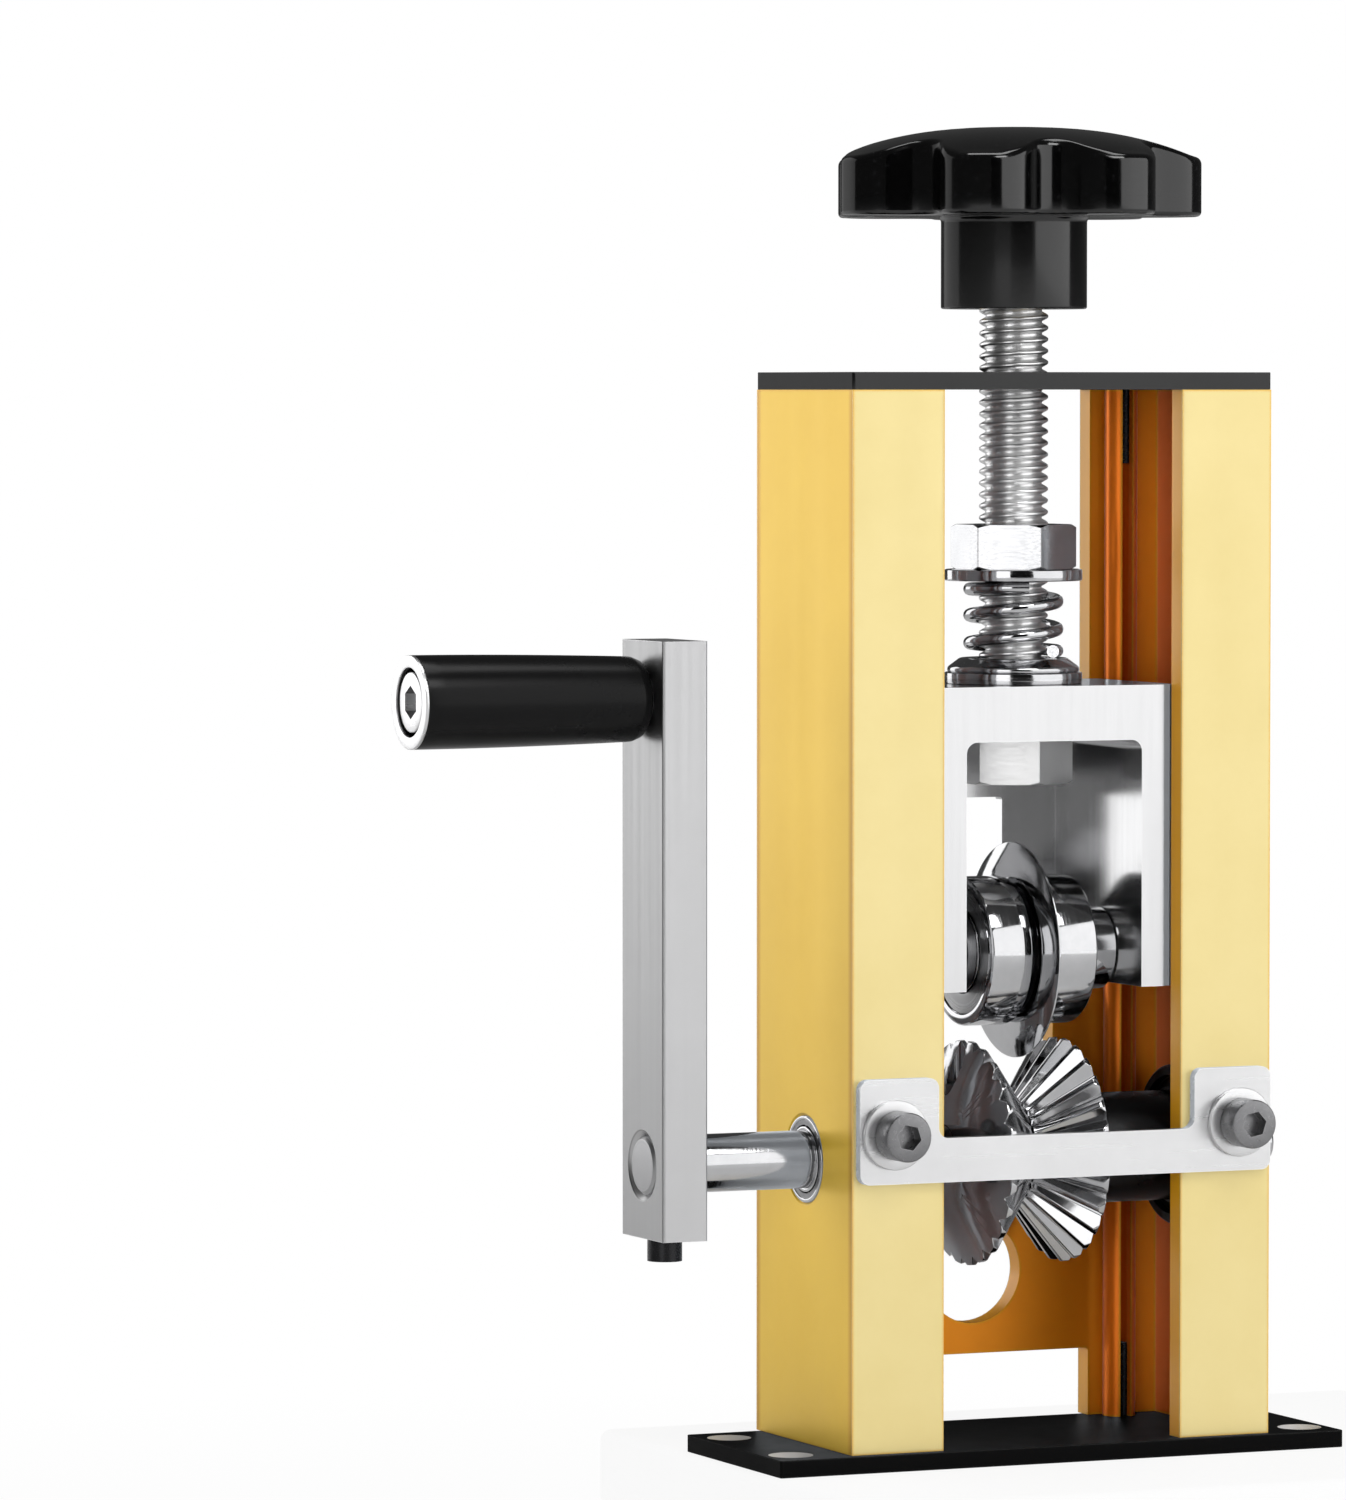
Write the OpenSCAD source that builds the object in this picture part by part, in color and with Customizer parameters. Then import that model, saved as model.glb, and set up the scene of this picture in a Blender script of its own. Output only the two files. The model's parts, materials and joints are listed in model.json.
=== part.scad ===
// Hand crank wire stripper: a gold aluminium extrusion on a small base plate carries two
// toothed feed wheels on a crank shaft and, above them, a sprung yoke with a disc blade.
// Millimetres. X runs along the crank shaft, the front looks toward -Y and Z is up.
// The origin is on the adjusting screw's axis, at the underside of the base plate.

/* [Base plate] */
// Length of the base plate
base_w = 108; // [104:1:130]
// Depth of the base plate, front to back
base_d = 40; // [36:1:60]
// Thickness of the base plate
base_t = 3; // [2:0.5:6]
// How far the base plate sits forward of the body
base_forward = 1.5; // [0:0.5:2]
// Diameter of the four bench screw holes
bench_hole_d = 4.3; // [3:0.1:5]
// Width of the countersinks of the bench screw holes
bench_sink_d = 7.6; // [6:0.1:8.4]
// Distance from the bench screw holes to the ends of the plate
bench_hole_inset = 5; // [4.5:0.5:7]
// Distance between the front and rear bench screw holes
bench_hole_gap = 26; // [16:1:28]

/* [Body] */
// Width of the body extrusion
body_w = 80; // [76:1:92]
// Depth of the body extrusion
body_d = 40; // [39:0.5:46]
// Height of the body extrusion
body_h = 182; // [176:1:220]
// Wall thickness of the body extrusion
body_wall = 4; // [3:0.5:4.5]
// Width of the long front slot and of the rear window
slot_w = 45.4; // [44:0.2:47]
// Height of the rear window's lower edge above the base plate
window_rise = 71.5; // [60:0.5:72]
// Corner radius of the rear window
window_r = 6; // [2:0.5:7]
// Width of the rear opening behind the feed wheels
wheel_window_w = 31.2; // [28:0.2:34]
// Height of that opening's lower edge above the base plate
wheel_window_rise = 37.4; // [30:0.2:37.6]
// Diameter of the round hole low in the rear panel
round_hole_d = 18.4; // [10:0.2:19]
// Height of the round hole's centre above the base plate
round_hole_rise = 26.6; // [25:0.2:27]
// Height of the rear cut-out over the base plate
foot_cut_h = 12; // [6:0.5:14]
// Outer diameter of the four screw ports inside the corners
port_d = 5.8; // [5:0.1:6]
// Distance of the screw ports from the middle, along the width
port_x = 27.6; // [27.5:0.1:28]
// Thickness of the top plate
top_t = 3; // [2:0.5:6]

/* [Cover screws] */
// Diameter of the screws that hold the top plate and the base plate
cover_screw_d = 3; // [2.5:0.1:3.4]
// Length of those screws
cover_screw_l = 16; // [10:1:20]
// Head diameter of those screws
cover_head_d = 5.8; // [5:0.1:6.4]

/* [Crank] */
// Diameter of the drive shaft
shaft_d = 10; // [8:0.5:10.5]
// Height of the drive shaft's axis above the base plate
shaft_rise = 49.2; // [48.5:0.1:50]
// Distance from the drive shaft to the grip
crank_r = 80; // [60:1:110]
// Width of the crank arm
arm_w = 17.8; // [16:0.2:20]
// Thickness of the crank arm
arm_t = 8.4; // [7:0.2:12]
// Gap between the body and the crank arm
arm_gap = 22; // [10:1:40]
// Length of the arm past the shaft's axis
arm_foot = 12.5; // [11:0.5:16]
// Length of the arm past the grip's axis
arm_head = 10; // [9:0.5:14]
// Diameter of the drill stub on the right end of the shaft
stub_d = 8; // [6:0.5:8]
// Length of the drill stub
stub_l = 7.5; // [6:0.5:20]
// Length of the grip sleeve
grip_l = 42; // [36:1:80]
// Diameter of the grip sleeve at its outer end
grip_d = 16; // [15:0.5:20]
// Diameter of the grip sleeve beside the arm
grip_small_d = 14.6; // [13:0.2:15]

/* [Feed wheels] */
// Gap between the feed wheels' rims and the body's front and rear faces
wheel_front_gap = 0.4; // [0.4:0.1:2]
// Diameter of the wheels' small ends, at the bottom of the groove
wheel_small_d = 18.4; // [16:0.2:22]
// Width of each wheel's toothed cone
cone_w = 8.2; // [8:0.1:10]
// Number of teeth on each wheel
teeth = 26; // [20:1:28]
// Depth of the teeth at the rim
tooth_deep = 1.9; // [1:0.1:2]
// Depth of the teeth at the small end
tooth_shallow = 0.6; // [0.3:0.1:0.8]

/* [Blade] */
// Diameter of the disc blade
blade_d = 37.6; // [34:0.2:38]
// Thickness of the disc blade
blade_t = 2.4; // [1.5:0.1:2.8]
// How far the blade dips between the feed wheels
blade_dip = 3.2; // [1:0.1:4]
// Outer diameter of the two support rollers
roller_d = 26; // [24:0.5:28]
// Width of each support roller
roller_w = 8; // [6:0.5:9]
// Diameter of the blade axle in the rollers
axle_d = 10; // [8:0.5:11]

/* [Yoke] */
// Width of the yoke's front face, which runs in the front slot
yoke_w = 42.2; // [41:0.2:43]
// Width over the yoke's side rails, behind the flanges of the body
rail_w = 48.4; // [47.4:0.2:48.6]
// Height of the yoke
yoke_h = 52.4; // [50:0.2:60]
// Width of the yoke's window
pocket_w = 33.6; // [32:0.2:35]
// Height of the solid bar over the window
bar_h = 9.5; // [7:0.5:14]
// Distance from the blade axle to the bottom of the legs
leg_below = 5.9; // [5:0.1:8]
// Width of the slot in the yoke's rear wall
rear_slot_w = 12.6; // [6:0.2:20]

/* [Adjusting screw] */
// Outer diameter of the adjusting screw
screw_d = 12; // [10:0.5:12]
// Pitch of its thread
pitch = 2; // [1.5:0.25:2.5]
// Size across the flats of its head
head_af = 18; // [16:0.5:20]
// Height of its head
head_h = 7.8; // [5:0.1:9]
// Size across the flats of the nut
nut_af = 19; // [17:0.5:22]
// Height of the nut
nut_h = 7.8; // [6:0.2:11]
// Diameter of the flat washers
washer_d = 24; // [20:0.5:27]
// Thickness of the flat washers
washer_t = 2; // [1:0.1:3]
// Height of the domed spring seat
seat_h = 2.5; // [1.5:0.1:4]

/* [Pressure spring] */
// Wire diameter
wire_d = 2.2; // [1.8:0.1:2.2]
// Mean diameter of the coil
coil_d = 15.3; // [15.3:0.1:16.5]
// Height of the spring as fitted
spring_h = 13.4; // [13:0.1:20]
// Number of turns
coil_turns = 2.8; // [2.4:0.1:3.2]

/* [Star knob] */
// Diameter over the lobes
knob_d = 65; // [56:1:80]
// Number of lobes
knob_lobes = 7; // [5:1:8]
// Radius of each lobe's tip
lobe_r = 8.2; // [6:0.2:9]
// Depth of the hollows between the lobes
hollow_deep = 7.6; // [6:0.2:9]
// Height of the lobes at the rim
rim_h = 10.3; // [8:0.1:12]
// Height of the domed crown over the rim
crown_h = 5.2; // [2:0.1:8]
// Diameter of the hub
hub_d = 25.4; // [22:0.2:30]
// Height of the hub under the lobes
hub_h = 16; // [12:0.5:24]
// Gap between the top plate and the hub
hub_gap = 11; // [8:0.5:16]

/* [Guide bar] */
// Length of the guide bar
bar_l = 78.6; // [76:0.2:79.6]
// Height of the guide bar between its ears
guide_h = 7.6; // [5:0.2:7.8]
// Thickness of the guide bar
guide_t = 1.8; // [1.2:0.1:3]
// Width of each ear
ear_w = 14.8; // [13:0.2:16]
// Height of each ear
ear_h = 18; // [16:0.5:22]
// Height of the guide bar's lower edge above the base plate
guide_rise = 46.4; // [40:0.2:48]
// Diameter of the guide bar screws
guide_screw_d = 5; // [4:0.5:5.5]

/* [Hidden] */
$fn = 96;

// Clearances and small features shared by several pieces
run_gap = 0.05;      // radial running clearance
seat_gap = 0.1;      // clearance round screws and between turning faces
slide_gap = 0.3;     // clearance of sliding and free faces
cut = 1;             // overrun of every cut
edge = 0.5;          // small chamfer
sink_slope = 1;      // a 90 degree countersink: depth over radius

// Heights, from the underside of the base plate
body_z = base_t;
top_z = body_z + body_h;
shaft_z = base_t + shaft_rise;
wheel_d = body_d - 2 * wheel_front_gap;
wheel_r = wheel_d / 2;
blade_r = blade_d / 2;
axle_z = shaft_z + wheel_r - blade_dip + blade_r;
yoke_z = axle_z - leg_below;
yoke_top = yoke_z + yoke_h;
bar_z = yoke_top - bar_h;
seat_z = yoke_top + washer_t;
spring_z = seat_z + seat_h;
spring_top = spring_z + spring_h;
nut_z = spring_top + washer_t;
hub_z = top_z + top_t + hub_gap;
star_z = hub_z + hub_h;
head_top = bar_z - seat_gap;
guide_z = base_t + guide_rise;
guide_screw_drop = 0.5;
guide_screw_z = guide_z + ear_h / 2 - guide_screw_drop;

// Body
wall_x = body_w / 2 - body_wall;
flange_y = body_d / 2 - body_wall;
port_bite = 0.4;
port_y = flange_y - port_d / 2 + port_bite;
port_slit = 2;
port_bore = cover_screw_d + 2 * seat_gap;
rib_w = 1.6;
rib_h = 1;
rib_y = 6;
web_bite = 0.5;

// Guide bar
ear_shift = 1.1;
guide_screw_x = bar_l / 2 - ear_w / 2 + ear_shift;
ear_r = 1.8;
guide_washer_d = 12;
guide_washer_t = 1.2;
guide_head_d = 8.5;
guide_head_h = 5;
guide_socket_af = 4;
guide_socket_deep = 2.6;
guide_screw_reach = 1;
yoke_proud = 0.5;
seat_lip = 1;

// Wall bearings, a thin ball bearing in each side wall
wall_bearing_d = shaft_d + 5;
ring_share = 0.27;
ball_share = 0.3;
fill_share = 0.68;
shield_share = 0.06;
shield_inset_share = 0.04;

// Bearing housing inside the right wall
housing_side_gap = 1.9;
housing_flange_d = 2 * (flange_y - housing_side_gap);
housing_flange_t = 5.2;
spot_face_d = housing_flange_d + 2 * edge;
housing_boss_share = 0.684;
housing_boss_d = housing_boss_share * housing_flange_d;
housing_recess_in_share = 0.73;
housing_recess_in = housing_recess_in_share * housing_flange_d;
housing_recess_out_share = 0.865;
housing_recess_out = housing_recess_out_share * housing_flange_d;
housing_recess_deep = 1.5;
housing_screw_d = 2.5;
housing_screw_head_d = 4.8;
housing_pcd_share = 0.8;
housing_screw_pcd = housing_pcd_share * housing_flange_d;
housing_screw_l = 7;
housing_screws_n = 4;

// Shaft, wheels and collar
wheel_gap = 0.15;
rim_w = 1;
wheel_back_w = 4;
wheel_back_d = 18;
set_d = 4;
set_l = 7;
set_socket_af = 2;
set_socket_deep = 1.8;
collar_d = 16;
collar_w = 8;
clip_d = 13.4;
clip_t = 1;
clip_gap = 2.6;
clip_groove_deep = 0.5;
tooth_over = 4;

// Arm and grip
arm_bore_flare = 1.2;
arm_set_d = 6;
arm_set_out = 4;
arm_set_socket_af = 3;
grip_bolt_d = 8;
grip_thread_d = 6;
grip_head_d = 10.4;
grip_head_h = 5;
grip_socket_af = 5;
grip_socket_deep = 3;
grip_recess_d = 11.8;
grip_recess_deep = 5.4;
grip_ring_proud = 0.6;
grip_round = 3;
grip_z = shaft_z + crank_r;
arm_x = -body_w / 2 - arm_gap;
arm_out = arm_x - arm_t;
grip_x = arm_out - slide_gap;

// Screw, nut and knob
thread_deep = 1.1;
crest_share = 0.2;
screw_grip = 20;
hex_turn = 30;
nut_chamfer = 0.9;
insert_d = 17;
insert_recess = 0.3;
screw_bore_r = screw_d / 2 + seat_gap / 2;
knob_round = 1.2;

// Yoke
yoke_front = flange_y + yoke_proud * body_wall / 4;
rail_y = flange_y - slide_gap;
yoke_rear_wall = 2.5;
pocket_rear = body_d / 2 - yoke_rear_wall;
pocket_r = 2;
rear_slot_below = 11.2;
axle_end_d = 6;
axle_end_inset = 0.4;
axle_set_d = 3;
axle_set_l = 2.4;
axle_set_socket_af = 1.5;
axle_set_socket_deep = 1;

// Blade axle
spacer_t = 0.9;
inner_spacer_d = 15;
outer_spacer_d = 14.4;
bevel_w = 4;
blade_edge = 0.3;
roller_x = blade_t / 2 + seat_gap + spacer_t;

// A polygon in (radius, x) turned about the X axis
module turn_x() rotate([0, 90, 0]) rotate_extrude() children();

// A rod along X from x0 to x1
module rod_x(x0, x1, r) translate([x0, 0, 0]) rotate([0, 90, 0]) cylinder(h = x1 - x0, r = r);

// A tube along X from x0 to x1
module tube_x(x0, x1, r_out, r_in) difference() {
  rod_x(x0, x1, r_out);
  rod_x(x0 - cut, x1 + cut, r_in);
}

// A hexagonal rod along Z, by its size across the flats
module hex_rod(h, af) cylinder(h = h, r = af / sqrt(3), $fn = 6);

// A rectangle with round corners, centred
module round_rect(w, h, r) {
  square([w - 2 * r, h], center = true);
  square([w, h - 2 * r], center = true);
  for (sx = [-1, 1], sy = [-1, 1]) translate([sx * (w / 2 - r), sy * (h / 2 - r)]) circle(r = r);
}

// A countersunk screw, head up, with the head's top at the origin
module sunk_screw(d, head_d, l, socket_af) difference() {
  union() {
    translate([0, 0, -l]) cylinder(h = l, d = d);
    translate([0, 0, -(head_d - d) / 2 * sink_slope])
      cylinder(h = (head_d - d) / 2 * sink_slope, d1 = d, d2 = head_d);
  }
  translate([0, 0, -(head_d - d) / 2]) hex_rod((head_d - d) / 2 + cut, socket_af);
}

// The space that a countersunk screw needs
module sunk_hole(d, head_d, l) {
  translate([0, 0, -l]) cylinder(h = l + cut, d = d + 2 * seat_gap);
  translate([0, 0, -(head_d - d) / 2 * sink_slope])
    cylinder(h = (head_d - d) / 2 * sink_slope, d1 = d + 2 * seat_gap, d2 = head_d + 2 * seat_gap);
  cylinder(h = cut, d = head_d + 2 * seat_gap);
}

// A set screw, its socket end at the origin, its point toward -Z
module set_screw(d, l, af, deep) difference() {
  translate([0, 0, -l]) union() {
    cylinder(h = edge, d1 = d - 2 * edge, d2 = d);
    translate([0, 0, edge]) cylinder(h = l - edge, d = d);
  }
  translate([0, 0, -deep]) hex_rod(deep + cut, af);
}

// Places of the four screw ports
module at_ports() for (sx = [-1, 1], sy = [-1, 1]) translate([sx * port_x, sy * port_y, 0]) children();

// Base

module base_plate() color("#2f2f30") difference() {
  translate([0, -base_forward, base_t / 2]) linear_extrude(base_t, center = true)
    round_rect(base_w, base_d, edge);
  for (sx = [-1, 1], sy = [-1, 1])
    translate([sx * (base_w / 2 - bench_hole_inset), sy * bench_hole_gap / 2 - base_forward, 0]) {
      translate([0, 0, -cut]) cylinder(h = base_t + 2 * cut, d = bench_hole_d);
      translate([0, 0, base_t - (bench_sink_d - bench_hole_d) / 2])
        cylinder(h = (bench_sink_d - bench_hole_d) / 2, d1 = bench_hole_d, d2 = bench_sink_d);
      translate([0, 0, base_t]) cylinder(h = cut, d = bench_sink_d);
    }
  at_ports() mirror([0, 0, 1]) sunk_hole(cover_screw_d, cover_head_d, base_t + cut);
}

module base_screws() color("#1d1d1f")
  at_ports() mirror([0, 0, 1]) sunk_screw(cover_screw_d, cover_head_d, cover_screw_l, cover_screw_d / 2);

// Body extrusion

module port_post() {
  circle(d = port_d);
}

module body_section() difference() {
  union() {
    difference() {
      square([body_w, body_d], center = true);
      square([body_w - 2 * body_wall, body_d - 2 * body_wall], center = true);
    }
    at_ports() port_post();
    for (sx = [-1, 1], sy = [-1, 1])
      translate([sx * (wall_x - rib_h / 2 + web_bite / 2), sy * rib_y])
        square([rib_h + web_bite, rib_w], center = true);
  }
  translate([-slot_w / 2, -body_d / 2 - cut]) square([slot_w, body_wall + 2 * cut]);
  at_ports() circle(d = port_bore);
  for (sx = [-1, 1], sy = [-1, 1])
    translate([sx * port_x, sy * (port_y - port_d / 2)]) square([port_slit, port_d], center = true);
}

module rear_cut(z0, z1, w, r) translate([0, body_d / 2 + cut, (z0 + z1) / 2]) rotate([90, 0, 0])
  linear_extrude(body_wall + 2 * cut) round_rect(w, z1 - z0, r);

module body_extrusion() color("#e8bf52") difference() {
  translate([0, 0, body_z]) linear_extrude(body_h) body_section();
  rear_cut(base_t + window_rise, top_z + body_wall + window_r, slot_w, window_r);
  rear_cut(base_t + wheel_window_rise, base_t + window_rise + 2 * window_r, wheel_window_w, window_r / 2);
  rear_cut(base_t - foot_cut_h, base_t + foot_cut_h, slot_w, edge);
  translate([0, body_d / 2 + cut, base_t + round_hole_rise]) rotate([90, 0, 0])
    cylinder(h = body_wall + 2 * cut, d = round_hole_d);
  translate([0, 0, shaft_z]) {
    rod_x(-body_w / 2 - cut, body_w / 2 + cut, wall_bearing_d / 2);
    rod_x(-wall_x, -wall_x + rib_h + web_bite, spot_face_d / 2);
    rod_x(wall_x - rib_h - web_bite, wall_x, spot_face_d / 2);
    for (s = [-1, 1]) scale([s, 1, 1]) translate([body_w / 2 - edge, 0, 0]) rotate([0, 90, 0])
      cylinder(h = edge + run_gap, d1 = wall_bearing_d, d2 = wall_bearing_d + 2 * edge + 2 * run_gap);
  }
  at_guide_screws() rotate([90, 0, 0]) translate([0, 0, -guide_screw_reach - slide_gap - body_wall])
    cylinder(h = body_wall + guide_screw_reach + slide_gap + cut, d = guide_screw_d + 2 * seat_gap);
  at_housing_screws() sunk_hole(housing_screw_d, housing_screw_head_d, body_wall + cut);
}

module top_plate() color("#2b2b2c") difference() {
  translate([0, 0, top_z]) linear_extrude(top_t) round_rect(body_w, body_d, edge);
  translate([0, 0, top_z - cut]) cylinder(h = top_t + 2 * cut, r = screw_d / 2 + seat_gap);
  translate([0, 0, top_z + top_t]) at_ports() sunk_hole(cover_screw_d, cover_head_d, top_t + cut);
}

module top_screws() color("#1d1d1f") translate([0, 0, top_z + top_t])
  at_ports() sunk_screw(cover_screw_d, cover_head_d, cover_screw_l, cover_screw_d / 2);

// Guide bar across the front

module at_guide_screws() for (s = [-1, 1])
  translate([s * guide_screw_x, -body_d / 2, guide_screw_z]) children();

module guide_outline() difference() {
  union() {
    translate([0, guide_h / 2]) square([bar_l - 2 * ear_r, guide_h], center = true);
    for (s = [-1, 1]) translate([s * (bar_l / 2 - ear_w / 2), ear_h / 2]) round_rect(ear_w, ear_h, ear_r);
    for (s = [-1, 1]) translate([s * (bar_l / 2 - ear_w - ear_r / 2), guide_h + ear_r / 2])
      square([ear_r + edge, ear_r], center = true);
  }
  for (s = [-1, 1]) translate([s * (bar_l / 2 - ear_w - ear_r), guide_h + ear_r]) circle(r = ear_r);
}

module guide_bar() color("#e9eaec") difference() {
  translate([0, -body_d / 2, guide_z]) rotate([90, 0, 0]) linear_extrude(guide_t) guide_outline();
  at_guide_screws() rotate([90, 0, 0]) translate([0, 0, -cut])
    cylinder(h = guide_t + 2 * cut, d = guide_screw_d + 2 * seat_gap);
}

module guide_bar_washers() color("#f2f2f2") at_guide_screws() rotate([90, 0, 0])
  translate([0, 0, guide_t]) difference() {
    cylinder(h = guide_washer_t, d = guide_washer_d);
    translate([0, 0, -cut]) cylinder(h = guide_washer_t + 2 * cut, d = guide_screw_d + 2 * seat_gap);
  }

module guide_bar_screws() color("#4a4b4d") at_guide_screws() rotate([90, 0, 0])
  translate([0, 0, guide_t + guide_washer_t]) difference() {
    union() {
      cylinder(h = guide_head_h - edge, d = guide_head_d);
      translate([0, 0, guide_head_h - edge])
        cylinder(h = edge, d1 = guide_head_d, d2 = guide_head_d - 2 * edge);
      translate([0, 0, -guide_t - guide_washer_t - body_wall - guide_screw_reach])
        cylinder(h = guide_t + guide_washer_t + body_wall + guide_screw_reach, d = guide_screw_d);
    }
    translate([0, 0, guide_head_h - guide_socket_deep]) hex_rod(guide_socket_deep + cut, guide_socket_af);
  }

// Ball bearings: rings, balls and shields between x0 and x0 + w

function race_r(r_out, r_in) = (r_out + r_in) / 2;
function ball_r(r_out, r_in) = ball_share * (r_out - r_in);
function outer_land(r_out, r_in) = r_out - ring_share * (r_out - r_in);
function inner_land(r_out, r_in) = r_in + ring_share * (r_out - r_in);
function ball_count(r_out, r_in) = floor(fill_share * PI * race_r(r_out, r_in) / ball_r(r_out, r_in));

module race(x0, w, r_out, r_in) translate([x0 + w / 2, 0, 0]) turn_x()
  translate([race_r(r_out, r_in), 0]) circle(r = ball_r(r_out, r_in) + run_gap, $fn = 32);

module outer_ring(x0, w, r_out, r_in) difference() {
  tube_x(x0, x0 + w, r_out, outer_land(r_out, r_in));
  race(x0, w, r_out, r_in);
}

module inner_ring(x0, w, r_out, r_in) difference() {
  tube_x(x0, x0 + w, inner_land(r_out, r_in), r_in);
  race(x0, w, r_out, r_in);
}

module balls(x0, w, r_out, r_in) {
  n = ball_count(r_out, r_in);
  for (i = [0 : n - 1]) rotate([i * 360 / n, 0, 0]) translate([x0 + w / 2, 0, race_r(r_out, r_in)])
    sphere(r = ball_r(r_out, r_in), $fn = 24);
}

module shields(x0, w, r_out, r_in) {
  t = shield_share * w;
  inset = shield_inset_share * w;
  for (x = [x0 + inset, x0 + w - inset - t])
    tube_x(x, x + t, outer_land(r_out, r_in), inner_land(r_out, r_in) + slide_gap);
}

// Shaft bearings in the side walls

module left_bearing_outer_ring() color("#d9dadc") translate([0, 0, shaft_z])
  outer_ring(-body_w / 2, body_wall, wall_bearing_d / 2, shaft_d / 2);

module right_bearing_outer_ring() color("#d9dadc") translate([0, 0, shaft_z])
  outer_ring(wall_x, body_wall, wall_bearing_d / 2, shaft_d / 2);

module wall_bearing_shields() color("#8d9094") translate([0, 0, shaft_z])
  for (x = [-body_w / 2, wall_x]) shields(x, body_wall, wall_bearing_d / 2, shaft_d / 2);

module wall_bearing_balls() color("#e6e7ea") translate([0, 0, shaft_z])
  for (x = [-body_w / 2, wall_x]) balls(x, body_wall, wall_bearing_d / 2, shaft_d / 2);

module left_bearing_inner_ring() color("#d9dadc") translate([0, 0, shaft_z])
  inner_ring(-body_w / 2, body_wall, wall_bearing_d / 2, shaft_d / 2);

module right_bearing_inner_ring() color("#d9dadc") translate([0, 0, shaft_z])
  inner_ring(wall_x, body_wall, wall_bearing_d / 2, shaft_d / 2);

// Bearing housing, a flanged sleeve inside the right wall

module at_housing_screws() for (i = [0 : housing_screws_n - 1])
  translate([body_w / 2, 0, shaft_z]) rotate([(i + 0.5) * 360 / housing_screws_n, 0, 0])
    translate([0, 0, housing_screw_pcd / 2]) rotate([0, 90, 0]) children();

module right_bearing_housing() color("#1e1e20") difference() {
  translate([0, 0, shaft_z]) difference() {
    turn_x() polygon([
      [shaft_d / 2 + slide_gap, boss_x], [housing_boss_d / 2 - edge, boss_x],
      [housing_boss_d / 2, boss_x + edge], [housing_boss_d / 2, wall_x - housing_flange_t],
      [housing_flange_d / 2 - edge, wall_x - housing_flange_t],
      [housing_flange_d / 2, wall_x - housing_flange_t + edge],
      [housing_flange_d / 2, wall_x], [shaft_d / 2 + slide_gap, wall_x]]);
    tube_x(wall_x - housing_flange_t - cut, wall_x - housing_flange_t + housing_recess_deep,
      housing_recess_out / 2, housing_recess_in / 2);
  }
  at_housing_screws() translate([0, 0, -housing_screw_l - slide_gap])
    cylinder(h = housing_screw_l, d = housing_screw_d + 2 * seat_gap);
}

module housing_screws() color("#333436")
  at_housing_screws() sunk_screw(housing_screw_d, housing_screw_head_d, housing_screw_l, housing_screw_d / 2);

// Shaft and feed wheels

wheel_out = wheel_gap + cone_w + rim_w + wheel_back_w;
boss_x = wheel_out + slide_gap;
clip_x = body_w / 2 + slide_gap;
clip_edge = 0.7;
shaft_end = clip_x + clip_t + clip_edge;

module drive_shaft() color("#dfe1e4") translate([0, 0, shaft_z]) difference() {
  turn_x() polygon([
    [0, arm_out], [shaft_d / 2 - edge, arm_out], [shaft_d / 2, arm_out + edge],
    [shaft_d / 2, clip_x - run_gap], [shaft_d / 2 - clip_groove_deep, clip_x - run_gap],
    [shaft_d / 2 - clip_groove_deep, clip_x + clip_t + run_gap],
    [shaft_d / 2, clip_x + clip_t + run_gap], [shaft_d / 2, shaft_end],
    [stub_d / 2, shaft_end], [stub_d / 2, shaft_end + stub_l - edge],
    [stub_d / 2 - edge, shaft_end + stub_l], [0, shaft_end + stub_l]]);
}

// The line of a tooth's root runs from the small end out to the rim, and sinks as it goes
cone_rise = (wheel_d - wheel_small_d) / 2;
cone_angle = atan2(cone_rise, cone_w);
cone_l = norm([cone_rise, cone_w]);
root_tilt = atan2(tooth_deep - tooth_shallow, cone_l);

module tooth_cut() translate([wheel_gap, 0, wheel_small_d / 2])
  rotate([0, -cone_angle, 0]) translate([0, 0, -tooth_shallow]) rotate([0, root_tilt, 0])
    translate([-tooth_over, 0, 0]) rotate([90, 0, 90]) linear_extrude(cone_l + 2 * tooth_over)
      polygon([[0, 0], [tooth_over, tooth_over], [-tooth_over, tooth_over]]);

module feed_wheel() difference() {
  turn_x() polygon([
    [shaft_d / 2 + run_gap, wheel_gap], [wheel_small_d / 2, wheel_gap],
    [wheel_r, wheel_gap + cone_w], [wheel_r, wheel_gap + cone_w + rim_w],
    [wheel_back_d / 2, wheel_out], [shaft_d / 2 + run_gap, wheel_out]]);
  for (i = [0 : teeth - 1]) rotate([i * 360 / teeth, 0, 0]) tooth_cut();
  wheel_set_place() translate([0, 0, -set_l]) cylinder(h = 3 * set_l, d = set_d + 2 * run_gap);
}

// Place of a wheel's set screw, pointing at the shaft from above
module wheel_set_place()
  translate([wheel_out - wheel_back_w / 2 - rim_w / 2, 0, shaft_d / 2 + run_gap + set_l])
  children();

module right_feed_wheel() color("#d4d6d9") translate([0, 0, shaft_z]) feed_wheel();

module left_feed_wheel() color("#d4d6d9") translate([0, 0, shaft_z]) mirror([1, 0, 0]) feed_wheel();

module wheel_set_screws() color("#3a3b3d") translate([0, 0, shaft_z])
  for (s = [0, 1]) mirror([s, 0, 0]) wheel_set_place()
    set_screw(set_d, set_l, set_socket_af, set_socket_deep);

// The collar keeps the shaft from moving out to the left
collar_x = -wall_x + slide_gap;

module collar_set_place() translate([collar_x + collar_w / 2, 0, shaft_z])
  rotate([-90, 0, 0]) translate([0, 0, collar_d / 2 - run_gap]) children();

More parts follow.
